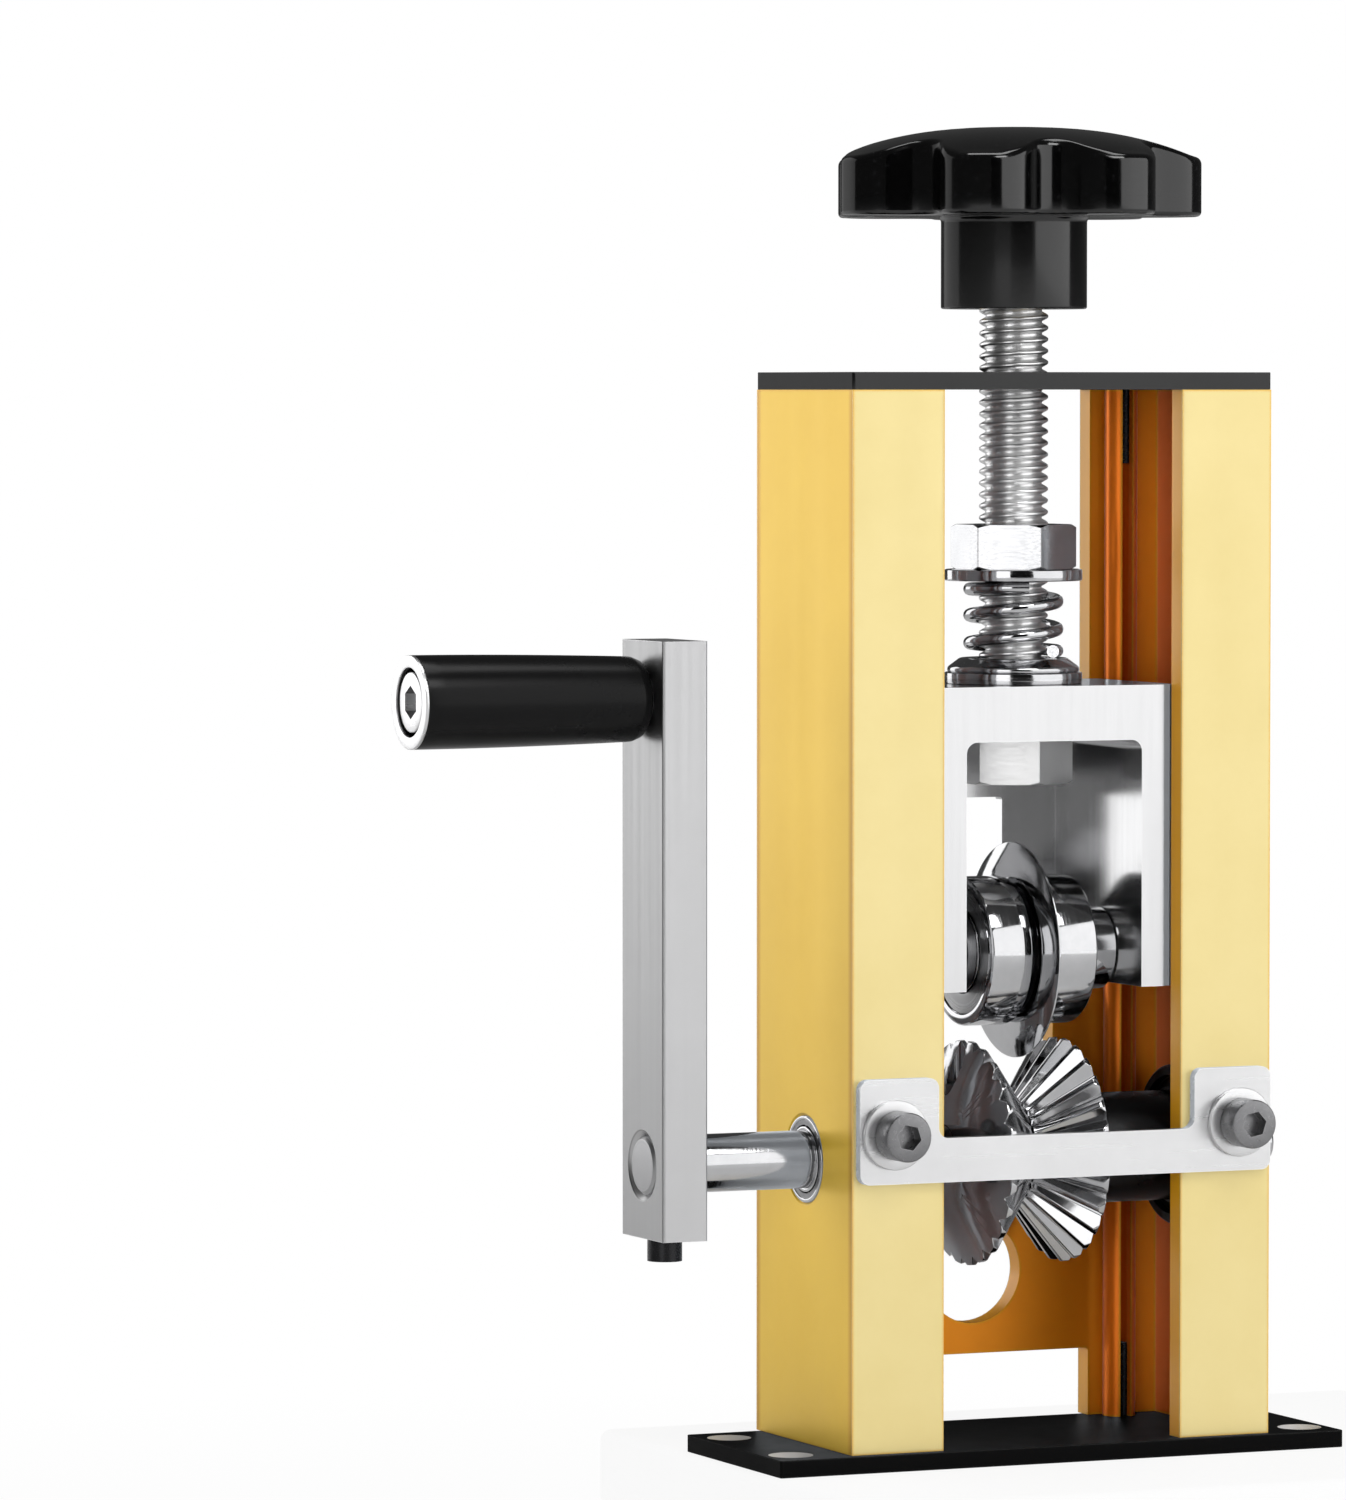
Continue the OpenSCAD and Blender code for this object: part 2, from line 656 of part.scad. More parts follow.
module shaft_collar() color("#3b3c3e") difference() {
  translate([0, 0, shaft_z]) turn_x() polygon([
    [shaft_d / 2 + run_gap, collar_x], [collar_d / 2 - edge, collar_x], [collar_d / 2, collar_x + edge],
    [collar_d / 2, collar_x + collar_w - edge], [collar_d / 2 - edge, collar_x + collar_w],
    [shaft_d / 2 + run_gap, collar_x + collar_w]]);
  collar_set_place() translate([0, 0, -collar_d / 2]) cylinder(h = collar_d, d = set_d + 2 * run_gap);
}

module collar_set_screw() color("#3a3b3d") collar_set_place()
  set_screw(set_d, (collar_d - shaft_d) / 2 - 2 * run_gap, set_socket_af, set_socket_deep / 2);

module shaft_circlip() color("#2d2e30") translate([0, 0, shaft_z]) difference() {
  tube_x(clip_x, clip_x + clip_t, clip_d / 2, shaft_d / 2 - clip_groove_deep + run_gap);
  translate([clip_x - cut, -clip_gap / 2, -clip_d]) cube([clip_t + 2 * cut, clip_gap, clip_d]);
}

// Crank arm and grip

module crank_arm() color("#bcbec0") difference() {
  translate([arm_out, 0, shaft_z - arm_foot]) linear_extrude(arm_foot + crank_r + arm_head)
    translate([arm_t / 2, 0]) round_rect(arm_t, arm_w, edge);
  translate([0, 0, shaft_z]) {
    rod_x(arm_out - cut, arm_x + cut, shaft_d / 2);
    translate([arm_out, 0, 0]) rotate([0, 90, 0])
      cylinder(h = arm_bore_flare, r1 = shaft_d / 2 + arm_bore_flare, r2 = shaft_d / 2);
  }
  translate([0, 0, grip_z]) rod_x(arm_out - cut, arm_x + cut, grip_thread_d / 2);
  arm_set_place() translate([0, 0, -arm_foot]) cylinder(h = arm_foot + cut, d = arm_set_d);
}

module arm_set_place() translate([arm_out + arm_t / 2, 0, shaft_z - arm_foot - arm_set_out])
  mirror([0, 0, 1]) children();

module crank_set_screw() color("#4a4b4d") arm_set_place()
  set_screw(arm_set_d, arm_foot + arm_set_out - shaft_d / 2 - run_gap, arm_set_socket_af, set_socket_deep);

grip_end = grip_x - grip_l;
grip_head_x = grip_end - grip_ring_proud + slide_gap;

module grip_bolt() color("#cfd1d4") translate([0, 0, grip_z]) difference() {
  turn_x() polygon([
    [0, grip_head_x], [grip_head_d / 2 - edge, grip_head_x], [grip_head_d / 2, grip_head_x + edge],
    [grip_head_d / 2, grip_head_x + grip_head_h], [grip_bolt_d / 2, grip_head_x + grip_head_h],
    [grip_bolt_d / 2, arm_out], [grip_thread_d / 2, arm_out], [grip_thread_d / 2, arm_x], [0, arm_x]]);
  translate([grip_head_x + grip_socket_deep, 0, 0]) rotate([0, -90, 0])
    hex_rod(grip_socket_deep + cut, grip_socket_af);
}

module grip_sleeve() color("#161617") translate([0, 0, grip_z]) turn_x() polygon(concat(
  [[grip_bolt_d / 2 + run_gap, grip_x]],
  [for (a = [90 : -15 : 0]) [grip_small_d / 2 - grip_round + grip_round * cos(a),
    grip_x - grip_round + grip_round * sin(a)]],
  [[grip_d / 2, grip_end], [grip_recess_d / 2, grip_end],
   [grip_recess_d / 2, grip_end + grip_recess_deep],
   [grip_bolt_d / 2 + run_gap, grip_end + grip_recess_deep]]));

// The bright ring caps the sleeve's outer end
module grip_end_ring() color("#d6d8da") translate([0, 0, grip_z]) turn_x() polygon([
  [grip_recess_d / 2, grip_end], [grip_d / 2, grip_end],
  [grip_d / 2, grip_end - grip_ring_proud + edge], [grip_d / 2 - edge, grip_end - grip_ring_proud],
  [grip_recess_d / 2, grip_end - grip_ring_proud]]);

// Adjusting screw with its nut, washers and spring

thread_z = head_top + edge;
thread_end = hub_z + screw_grip;
thread_n = floor((thread_end - thread_z) / pitch);

function thread_ring(z) = [
  [screw_d / 2 - thread_deep, z],
  [screw_d / 2, z + pitch * (1 - crest_share) / 2],
  [screw_d / 2, z + pitch * (1 + crest_share) / 2]];

module adjusting_screw() color("#c9cbce") {
  rotate_extrude() polygon(concat(
    [[0, head_top - edge], [screw_d / 2 - thread_deep, head_top - edge]],
    [for (i = [0 : thread_n - 1]) each thread_ring(thread_z + i * pitch)],
    [[screw_d / 2 - thread_deep, thread_z + thread_n * pitch], [0, thread_z + thread_n * pitch]]));
  translate([0, 0, head_top - head_h]) rotate(hex_turn) hex_head(head_af, head_h, true);
}

// A hexagon with its corners turned off below, and above too where both is true
module hex_head(af, h, low_only) {
  corner = af / sqrt(3);
  intersection() {
    hex_rod(h, af);
    rotate_extrude() polygon(concat(
      [[0, 0], [corner - nut_chamfer, 0], [corner + edge, (nut_chamfer + edge) * nut_slope]],
      low_only ? [[corner + edge, h]]
        : [[corner + edge, h - (nut_chamfer + edge) * nut_slope], [corner - nut_chamfer, h]],
      [[0, h]]));
  }
}
nut_slope = 0.58;

module jam_nut() color("#d2d4d7") translate([0, 0, nut_z]) difference() {
  rotate(hex_turn) hex_head(nut_af, nut_h, false);
  translate([0, 0, -cut]) cylinder(h = nut_h + 2 * cut, r = screw_bore_r);
}

module flat_washer(z) translate([0, 0, z]) difference() {
  cylinder(h = washer_t, d = washer_d);
  translate([0, 0, -cut]) cylinder(h = washer_t + 2 * cut, r = screw_d / 2 + slide_gap);
}

module upper_spring_washer() color("#d8dadd") flat_washer(spring_top);

module lower_spring_washer() color("#d8dadd") flat_washer(yoke_top);

// A low dome under the spring
seat_top_d = coil_d + wire_d + seat_lip;

module spring_seat() color("#c4c6c9") translate([0, 0, seat_z]) rotate_extrude() polygon([
  [screw_d / 2 + slide_gap, 0], [washer_d / 2 - edge, 0], [washer_d / 2 - edge, seat_h / 3],
  [seat_top_d / 2, seat_h], [screw_d / 2 + slide_gap, seat_h]]);

// Spring: one tube along a helix whose pitch fades out over the ease at each end.
// Its two ends run straight for one wire diameter.
rings_per_turn = 8;
wire_sides = 6;
ease_turns = 0.5;
wire_low = spring_z + wire_d / 2 + run_gap;
wire_high = spring_top - wire_d / 2 - run_gap;
full_pitch = (wire_high - wire_low) / (coil_turns - ease_turns);
coil_from = -40;
coil_steps = round(coil_turns * rings_per_turn);

function climb(t) = t < ease_turns ? full_pitch * t * t / (2 * ease_turns)
  : t > coil_turns - ease_turns ? wire_high - wire_low - climb(coil_turns - t)
  : full_pitch * (t - ease_turns / 2);

function coil_angle(t) = coil_from + 360 * t;
function coil_along(t) = [-sin(coil_angle(t)), cos(coil_angle(t)), 0];
function coil_point(t) =
  [coil_d / 2 * cos(coil_angle(t)), coil_d / 2 * sin(coil_angle(t)), wire_low + climb(t)];

coil_points = [for (i = [0 : coil_steps]) coil_point(coil_turns * i / coil_steps)];
coil_start = coil_points[0] - wire_d * coil_along(0);
coil_finish = coil_points[coil_steps] + wire_d * coil_along(coil_turns);
wire_path = concat([coil_start], coil_points, [coil_finish]);

function unit(v) = v / norm(v);
function heading(path, i) = unit(path[min(i + 1, len(path) - 1)] - path[max(i - 1, 0)]);

// One ring of the tube, with a flat side toward the axis
function wire_ring(path, i, r) = let (
    h = heading(path, i),
    out = unit([path[i][0], path[i][1], 0]),
    side = unit(out - (out * h) * h),
    up = cross(h, side))
  [for (k = [0 : wire_sides - 1]) let (a = 360 * (k + 0.5) / wire_sides)
    path[i] + r * cos(a) * side + r * sin(a) * up];

module tube(path, r) {
  n = len(path);
  m = wire_sides;
  polyhedron(
    points = [for (i = [0 : n - 1]) each wire_ring(path, i, r)],
    faces = concat(
      [for (k = [1 : m - 2]) [0, k, k + 1]],
      [for (k = [1 : m - 2]) [(n - 1) * m, (n - 1) * m + k + 1, (n - 1) * m + k]],
      [for (i = [0 : n - 2], k = [0 : m - 1]) let (k2 = (k + 1) % m)
        [i * m + k, (i + 1) * m + k, (i + 1) * m + k2]],
      [for (i = [0 : n - 2], k = [0 : m - 1]) let (k2 = (k + 1) % m)
        [i * m + k, (i + 1) * m + k2, i * m + k2]]));
}

module pressure_spring() color("#cdd0d3") tube(wire_path, wire_d / 2);

// Least gap of the spring to itself: points of the wire's centre line, over half a turn apart
gap_steps = 24;
gap_points = [for (i = [0 : floor(coil_turns * gap_steps)]) coil_point(i / gap_steps)];
coil_gap = min([for (i = [0 : len(gap_points) - 1], j = [i + gap_steps / 2 : 1 : len(gap_points) - 1])
  norm(gap_points[i] - gap_points[j])]) - wire_d;
echo(least_gap_of_the_spring_to_itself = coil_gap);

// Star knob: lobe circles and hollow circles that touch, so the outline is smooth.
// The lobes reach just past the knob's diameter and are turned down to it.

lobe_over = 0.3;
lobe_c = knob_d / 2 + lobe_over - lobe_r;
half_lobe = 180 / knob_lobes;
hollow_in = knob_d / 2 - hollow_deep;
hollow_r = (pow(lobe_r, 2) - pow(hollow_in, 2) - pow(lobe_c, 2) + 2 * hollow_in * lobe_c * cos(half_lobe))
  / (2 * (hollow_in - lobe_c * cos(half_lobe) - lobe_r));
hollow_c = hollow_in + hollow_r;
knob_turn = -23.5;

module star_outline() {
  difference() {
    polygon([for (i = [0 : 2 * knob_lobes - 1]) let (c = i % 2 == 0 ? lobe_c : hollow_c)
      [c * cos(i * half_lobe), c * sin(i * half_lobe)]]);
    for (i = [0 : knob_lobes - 1]) rotate((2 * i + 1) * half_lobe) translate([hollow_c, 0])
      circle(r = hollow_r);
  }
  for (i = [0 : knob_lobes - 1]) rotate(2 * i * half_lobe) translate([lobe_c, 0]) circle(r = lobe_r);
}

// The crown falls slowly near the middle and faster toward the rounded rim
rim_in = knob_d / 2 - knob_round;
crown_power = 2.6;
crown_steps = 14;

module crown_section() polygon(concat(
  [[0, 0], [knob_d / 2, 0]],
  [for (a = [0 : 15 : 90]) [rim_in + knob_round * cos(a), rim_h - knob_round + knob_round * sin(a)]],
  [for (i = [crown_steps - 1 : -1 : 0]) let (share = i / crown_steps)
    [rim_in * share, rim_h + crown_h * (1 - pow(share, crown_power))]]));

module star_knob() color("#131314") difference() {
  union() {
    translate([0, 0, star_z]) intersection() {
      rotate(knob_turn) linear_extrude(rim_h + crown_h + cut) star_outline();
      rotate_extrude() crown_section();
    }
    translate([0, 0, hub_z]) cylinder(h = hub_h + edge, d = hub_d);
  }
  translate([0, 0, hub_z - cut]) cylinder(h = screw_grip + slide_gap + cut, d = insert_d);
}

module knob_insert() color("#b9a36a") difference() {
  translate([0, 0, hub_z + insert_recess]) cylinder(h = screw_grip - insert_recess + slide_gap, d = insert_d);
  translate([0, 0, hub_z - cut]) cylinder(h = screw_grip + slide_gap + 2 * cut, r = screw_bore_r);
}

// Yoke: side rails behind the flanges, a front block in the slot and a rear wall in the window

module pocket(w, z0, z1, y0, y1, r) translate([0, y1, 0]) rotate([90, 0, 0]) linear_extrude(y1 - y0) {
  translate([0, (z0 + z1) / 2]) round_rect(w, z1 - z0, r);
  translate([-w / 2, z0]) square([w, r + edge]);
}

module yoke() color("#e4e5e7") difference() {
  union() {
    translate([-rail_w / 2, -rail_y, yoke_z]) cube([rail_w, 2 * rail_y, yoke_h]);
    translate([-yoke_w / 2, -yoke_front, yoke_z]) cube([yoke_w, yoke_front + body_d / 2, yoke_h]);
  }
  pocket(pocket_w, yoke_z - cut, bar_z, -yoke_front - cut, pocket_rear, pocket_r);
  pocket(rear_slot_w, yoke_z - cut, bar_z - rear_slot_below, pocket_rear - cut, body_d / 2 + cut, edge);
  translate([0, 0, bar_z - cut]) cylinder(h = bar_h + 2 * cut, r = screw_d / 2 + slide_gap);
  translate([0, 0, axle_z]) rod_x(-rail_w / 2 - cut, rail_w / 2 + cut, axle_end_d / 2 + run_gap / 2);
  at_axle_sets() translate([0, 0, -leg_below]) cylinder(h = leg_below + cut, d = axle_set_d + 2 * run_gap);
}

// Places of the small set screws under the axle's ends, socket down
module at_axle_sets() for (s = [-1, 1])
  translate([s * (pocket_w / 2 + rail_w / 2) / 2, 0, yoke_z + slide_gap]) mirror([0, 0, 1]) children();

module axle_set_screws() color("#3a3b3d") at_axle_sets()
  set_screw(axle_set_d, leg_below - axle_end_d / 2 - slide_gap - run_gap,
    axle_set_socket_af, axle_set_socket_deep);

module blade_axle() color("#d5d7da") translate([0, 0, axle_z]) {
  rod_x(-pocket_w / 2 + slide_gap, pocket_w / 2 - slide_gap, axle_d / 2);
  rod_x(-rail_w / 2 + axle_end_inset, rail_w / 2 - axle_end_inset, axle_end_d / 2);
}

module inner_spacers() color("#b8babd") translate([0, 0, axle_z]) for (s = [0, 1]) mirror([s, 0, 0])
  tube_x(roller_x - spacer_t, roller_x, inner_spacer_d / 2, axle_d / 2 + run_gap);

module outer_spacers() color("#b8babd") translate([0, 0, axle_z]) for (s = [0, 1]) mirror([s, 0, 0])
  tube_x(roller_x + roller_w, pocket_w / 2 - run_gap, outer_spacer_d / 2, axle_d / 2 + run_gap);

module roller_inner_rings() color("#d9dadc") translate([0, 0, axle_z]) for (s = [0, 1]) mirror([s, 0, 0])
  inner_ring(roller_x, roller_w, roller_d / 2, axle_d / 2);

module roller_balls() color("#e6e7ea") translate([0, 0, axle_z]) for (s = [0, 1]) mirror([s, 0, 0])
  balls(roller_x, roller_w, roller_d / 2, axle_d / 2);

module right_roller() color("#dcdee0") translate([0, 0, axle_z])
  outer_ring(roller_x, roller_w, roller_d / 2, axle_d / 2);

module left_roller() color("#dcdee0") translate([0, 0, axle_z]) mirror([1, 0, 0])
  outer_ring(roller_x, roller_w, roller_d / 2, axle_d / 2);

module right_roller_shields() color("#8d9094") translate([0, 0, axle_z])
  shields(roller_x, roller_w, roller_d / 2, axle_d / 2);

module left_roller_shields() color("#8d9094") translate([0, 0, axle_z]) mirror([1, 0, 0])
  shields(roller_x, roller_w, roller_d / 2, axle_d / 2);

module blade_disc() color("#c2c5c9") translate([0, 0, axle_z]) turn_x() polygon([
  [axle_d / 2 + run_gap, -blade_t / 2], [blade_r - bevel_w, -blade_t / 2], [blade_r, -blade_edge / 2],
  [blade_r, blade_edge / 2], [blade_r - bevel_w, blade_t / 2], [axle_d / 2 + run_gap, blade_t / 2]]);

base_plate();
base_screws();
body_extrusion();
top_plate();
top_screws();
guide_bar();
guide_bar_washers();
guide_bar_screws();
left_bearing_outer_ring();
right_bearing_outer_ring();
wall_bearing_shields();
wall_bearing_balls();
right_bearing_housing();
housing_screws();
drive_shaft();
left_bearing_inner_ring();
right_bearing_inner_ring();
left_feed_wheel();
right_feed_wheel();
wheel_set_screws();
shaft_collar();
collar_set_screw();
shaft_circlip();
crank_arm();
crank_set_screw();
grip_bolt();
grip_sleeve();
grip_end_ring();
upper_spring_washer();
pressure_spring();
adjusting_screw();
jam_nut();
star_knob();
knob_insert();
yoke();
lower_spring_washer();
spring_seat();
blade_axle();
axle_set_screws();
inner_spacers();
outer_spacers();
roller_inner_rings();
roller_balls();
blade_disc();
left_roller();
right_roller();
left_roller_shields();
right_roller_shields();
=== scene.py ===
# Hand crank wire stripper: gold extruded body, crank shaft with two toothed feed wheels,
# sprung yoke with a disc blade, and a star knob on a threaded screw
import json
import math

import bpy
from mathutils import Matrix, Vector

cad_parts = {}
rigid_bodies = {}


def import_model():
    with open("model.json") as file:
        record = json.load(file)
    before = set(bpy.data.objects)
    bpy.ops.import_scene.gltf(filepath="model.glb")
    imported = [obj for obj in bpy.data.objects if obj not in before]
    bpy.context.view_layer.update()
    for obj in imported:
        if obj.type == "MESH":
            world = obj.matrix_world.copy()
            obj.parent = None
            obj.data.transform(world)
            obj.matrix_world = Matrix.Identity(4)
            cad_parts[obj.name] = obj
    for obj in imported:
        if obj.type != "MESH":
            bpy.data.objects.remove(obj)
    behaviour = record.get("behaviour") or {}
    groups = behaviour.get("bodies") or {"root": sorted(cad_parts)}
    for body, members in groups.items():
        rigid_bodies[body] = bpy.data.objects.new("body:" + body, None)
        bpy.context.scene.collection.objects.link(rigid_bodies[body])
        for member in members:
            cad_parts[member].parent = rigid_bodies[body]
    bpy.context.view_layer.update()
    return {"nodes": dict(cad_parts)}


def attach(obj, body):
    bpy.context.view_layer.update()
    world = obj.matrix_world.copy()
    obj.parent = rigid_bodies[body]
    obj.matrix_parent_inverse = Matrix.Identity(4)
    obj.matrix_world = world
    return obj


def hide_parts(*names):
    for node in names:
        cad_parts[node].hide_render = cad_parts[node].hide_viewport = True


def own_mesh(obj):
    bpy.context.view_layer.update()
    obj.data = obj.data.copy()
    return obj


for startObject in list(bpy.data.objects):
    bpy.data.objects.remove(startObject)
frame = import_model()
cadNodes = frame["nodes"]
mm = 0.001
quarter = math.pi / 2
# metres within which vertices are joined
weld = {"line": 1e-7, "turned": 1e-6, "cad": 2e-6}
print("frame loaded:", len(cadNodes), "nodes")


# small helpers

def makeActive(piece):
    if bpy.context.mode != "OBJECT":
        bpy.ops.object.mode_set(mode="OBJECT")
    bpy.ops.object.select_all(action="DESELECT")
    piece.select_set(True)
    bpy.context.view_layer.objects.active = piece


def editAll(piece):
    makeActive(piece)
    bpy.ops.object.mode_set(mode="EDIT")
    bpy.ops.mesh.select_all(action="SELECT")


def backToObject():
    bpy.ops.object.mode_set(mode="OBJECT")


def placeIntoMesh(piece):
    makeActive(piece)
    bpy.ops.object.transform_apply(location=True, rotation=True, scale=True)


def applyModifiers(piece):
    makeActive(piece)
    for name in [m.name for m in piece.modifiers]:
        bpy.ops.object.modifier_apply(modifier=name)


def smoothByAngle(piece, degrees=32):
    makeActive(piece)
    bpy.ops.object.shade_smooth_by_angle(angle=math.radians(degrees))


def bevelEdges(piece, width, segments=2, degrees=30):
    bevel = piece.modifiers.new("softEdges", "BEVEL")
    bevel.width = width * mm
    bevel.segments = segments
    bevel.limit_method = "ANGLE"
    bevel.angle_limit = math.radians(degrees)
    bevel.use_clamp_overlap = True
    applyModifiers(piece)


def keepFacesFlat(piece):
    # large faces keep their own normals, so that only the soft edges bend the light
    weighted = piece.modifiers.new("faceWeight", "WEIGHTED_NORMAL")
    weighted.weight = 90
    weighted.keep_sharp = True
    applyModifiers(piece)


def weldPiece(piece):
    # joins the vertices that lie together and turns every face outwards
    editAll(piece)
    bpy.ops.mesh.remove_doubles(threshold=weld["turned"])
    bpy.ops.mesh.normals_make_consistent(inside=False)
    backToObject()


def named(name):
    piece = bpy.context.active_object
    piece.name = name
    return piece


def joinPieces(pieces, name):
    makeActive(pieces[0])
    for piece in pieces:
        piece.select_set(True)
    bpy.ops.object.join()
    joined = bpy.context.view_layer.objects.active
    joined.name = joined.data.name = name
    return joined


def cutAway(piece, cutter, operation="DIFFERENCE"):
    boolean = piece.modifiers.new("cut", "BOOLEAN")
    boolean.operation = operation
    boolean.solver = "EXACT"
    boolean.object = cutter
    applyModifiers(piece)
    bpy.data.objects.remove(cutter)


def paint(piece, finish):
    piece.data.materials.clear()
    piece.data.materials.append(finishes[finish])


def dress(piece, body, slot, finish, *replaced):
    paint(piece, finish)
    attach(piece, body)
    if replaced:
        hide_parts(*replaced)
    return piece


# a corner straighter than this angle stays as it is, and an arc takes less than half of each side
arcs = {"tiny": 1e-6, "straight": 165, "sideShare": 0.45}


def roundCorners(points, radius, arcSteps=3):
    # each corner off the axis becomes a short arc
    made = []
    count = len(points)
    for i, point in enumerate(points):
        here = Vector(point)
        before, after = Vector(points[i - 1]), Vector(points[(i + 1) % count])
        toBefore, toAfter = before - here, after - here
        if (min(here.x, toBefore.length, toAfter.length) < arcs["tiny"]
                or toBefore.angle(toAfter) > math.radians(arcs["straight"])):
            made.append(here)
            continue
        reach = min(radius, toBefore.length * arcs["sideShare"], toAfter.length * arcs["sideShare"])
        start, end = here + toBefore.normalized() * reach, here + toAfter.normalized() * reach
        for k in range(arcSteps + 1):
            t = k / arcSteps
            made.append(start * (1 - t) ** 2 + here * 2 * t * (1 - t) + end * t ** 2)
    return made


def drawnLine(name, points):
    # one vertex, extruded from point to point; each point is (radius, height) in mm
    bpy.ops.mesh.primitive_plane_add(size=mm)
    piece = named(name)
    piece.data.name = name
    editAll(piece)
    bpy.ops.mesh.merge(type="CENTER")
    bpy.ops.transform.translate(value=(points[0][0] * mm, 0, points[0][1] * mm))
    for before, after in zip(points, points[1:]):
        step = ((after[0] - before[0]) * mm, 0, (after[1] - before[1]) * mm)
        bpy.ops.mesh.extrude_vertices_move(TRANSFORM_OT_translate={"value": step})
    bpy.ops.mesh.select_all(action="SELECT")
    bpy.ops.mesh.remove_doubles(threshold=weld["line"])
    backToObject()
    return piece


def lay(piece, axis, at):
    # turns a piece made along Z to the given axis and moves it to its place
    if axis == "X":
        piece.rotation_euler = (0, quarter, 0)
    elif axis == "-Y":
        piece.rotation_euler = (quarter, 0, 0)
    piece.location = [v * mm for v in at]
    placeIntoMesh(piece)


def turnedPiece(name, points, axis="Z", at=(0, 0, 0), rounding=0.25, steps=128):
    # points are (radius, place along the axis) in mm: one loop, or a line from axis to axis
    line = roundCorners(points, rounding)
    if points[0][0] > 0:
        line.append(line[0])
    piece = drawnLine(name, line)
    editAll(piece)
    bpy.ops.mesh.spin(steps=steps, angle=2 * math.pi, center=(0, 0, 0), axis=(0, 0, 1))
    weldPiece(piece)
    lay(piece, axis, at)
    smoothByAngle(piece)
    return piece


def ringLoop(inner, outer, low, high):
    return [(inner, low), (outer, low), (outer, high), (inner, high)]


def hexPrism(name, acrossFlats, height, axis="Z", at=(0, 0, 0), turn=0):
    # at turn 0 two corners point along Y
    radius = acrossFlats / math.sqrt(3) * mm
    bpy.ops.mesh.primitive_cylinder_add(vertices=6, radius=radius, depth=height * mm)
    piece = named(name)
    makeActive(piece)
    piece.rotation_euler = (0, 0, math.radians(30 + turn))
    placeIntoMesh(piece)
    lay(piece, axis, at)
    return piece


# degrees: faces of a CAD node flatter than "flat" are joined, and edges sharper than "sharp" stay
copying = {"flat": 0.6, "sharp": 50}


def softenedCopy(nodeName, pieceName, width, segments=2, degrees=30):
    # a copy of a CAD node with its doubles merged, its flat faces joined and its edges softened
    makeActive(cadNodes[nodeName])
    bpy.ops.object.duplicate(linked=False)
    piece = bpy.context.view_layer.objects.active
    bpy.ops.object.parent_clear(type="CLEAR_KEEP_TRANSFORM")
    piece.name = piece.data.name = pieceName
    for key in list(piece.keys()):
        del piece[key]
    if piece.data.has_custom_normals:
        bpy.ops.mesh.customdata_custom_splitnormals_clear()
    editAll(piece)
    bpy.ops.mesh.remove_doubles(threshold=weld["cad"])
    bpy.ops.mesh.dissolve_limited(angle_limit=math.radians(copying["flat"]))
    backToObject()
    bevelEdges(piece, width, segments, degrees)
    smoothByAngle(piece, copying["sharp"])
    keepFacesFlat(piece)
    return piece


# shader node groups that several materials share

def newGroup(name, inputs, outputs):
    # every group takes a vector first, and gives numbers
    group = bpy.data.node_groups.new(name, "ShaderNodeTree")
    group.interface.new_socket(name="Vector", in_out="INPUT", socket_type="NodeSocketVector")
    for label, value in inputs.items():
        kind = "NodeSocketVector" if isinstance(value, tuple) else "NodeSocketFloat"
        socket = group.interface.new_socket(name=label, in_out="INPUT", socket_type=kind)
        socket.default_value = value
    for label in outputs:
        group.interface.new_socket(name=label, in_out="OUTPUT", socket_type="NodeSocketFloat")
    start = group.nodes.new("NodeGroupInput")
    end = group.nodes.new("NodeGroupOutput")
    return group, start, end


def newNode(tree, kind):
    return tree.nodes.new("ShaderNode" + kind)


def plug(tree, value, socket):
    # value is another node's output or a number
    if hasattr(value, "links"):
        tree.links.new(value, socket)
    else:
        socket.default_value = value


def mathNode(tree, operation, *values):
    node = newNode(tree, "Math")
    node.operation = operation
    for value, socket in zip(values, node.inputs):
        plug(tree, value, socket)
    return node.outputs[0]


def noiseNode(tree, vector, **values):
    node = newNode(tree, "TexNoise")
    tree.links.new(vector, node.inputs["Vector"])
    for label, value in values.items():
        node.inputs[label].default_value = value
    return node


def makeGrainGroup():
    # long fine lines, as a die or a belt leaves them
    group, start, end = newGroup("drawnGrain", {"Stretch": (900.0, 900.0, 6.0)}, ("Grain", "Broad"))
    scaled = newNode(group, "VectorMath")
    scaled.operation = "MULTIPLY"
    group.links.new(start.outputs["Vector"], scaled.inputs[0])
    group.links.new(start.outputs["Stretch"], scaled.inputs[1])
    fine = noiseNode(group, scaled.outputs[0], Scale=1.0, Detail=3.0)
    broad = noiseNode(group, scaled.outputs[0], Scale=0.12, Detail=1.0)
    group.links.new(fine.outputs["Fac"], end.inputs["Grain"])
    group.links.new(broad.outputs["Fac"], end.inputs["Broad"])
    return group


def makeTurnedGroup():
    # fine rings round the X axis of the given coordinates
    group, start, end = newGroup("turnedRings", {"Fineness": 2500.0}, ("Rings",))
    split = newNode(group, "SeparateXYZ")
    group.links.new(start.outputs["Vector"], split.inputs[0])
    squares = [mathNode(group, "MULTIPLY", split.outputs[k], split.outputs[k]) for k in ("Y", "Z")]
    radius = mathNode(group, "SQRT", mathNode(group, "ADD", *squares))
    along = mathNode(group, "MULTIPLY", split.outputs["X"], start.outputs["Fineness"])
    across = mathNode(group, "MULTIPLY", radius, start.outputs["Fineness"])
    both = newNode(group, "CombineXYZ")
    group.links.new(along, both.inputs["X"])
    group.links.new(across, both.inputs["Y"])
    noise = noiseNode(group, both.outputs[0], Scale=1.0, Detail=2.0)
    noise.noise_dimensions = "2D"
    group.links.new(noise.outputs["Fac"], end.inputs["Rings"])
    return group


speckScale = 40.0


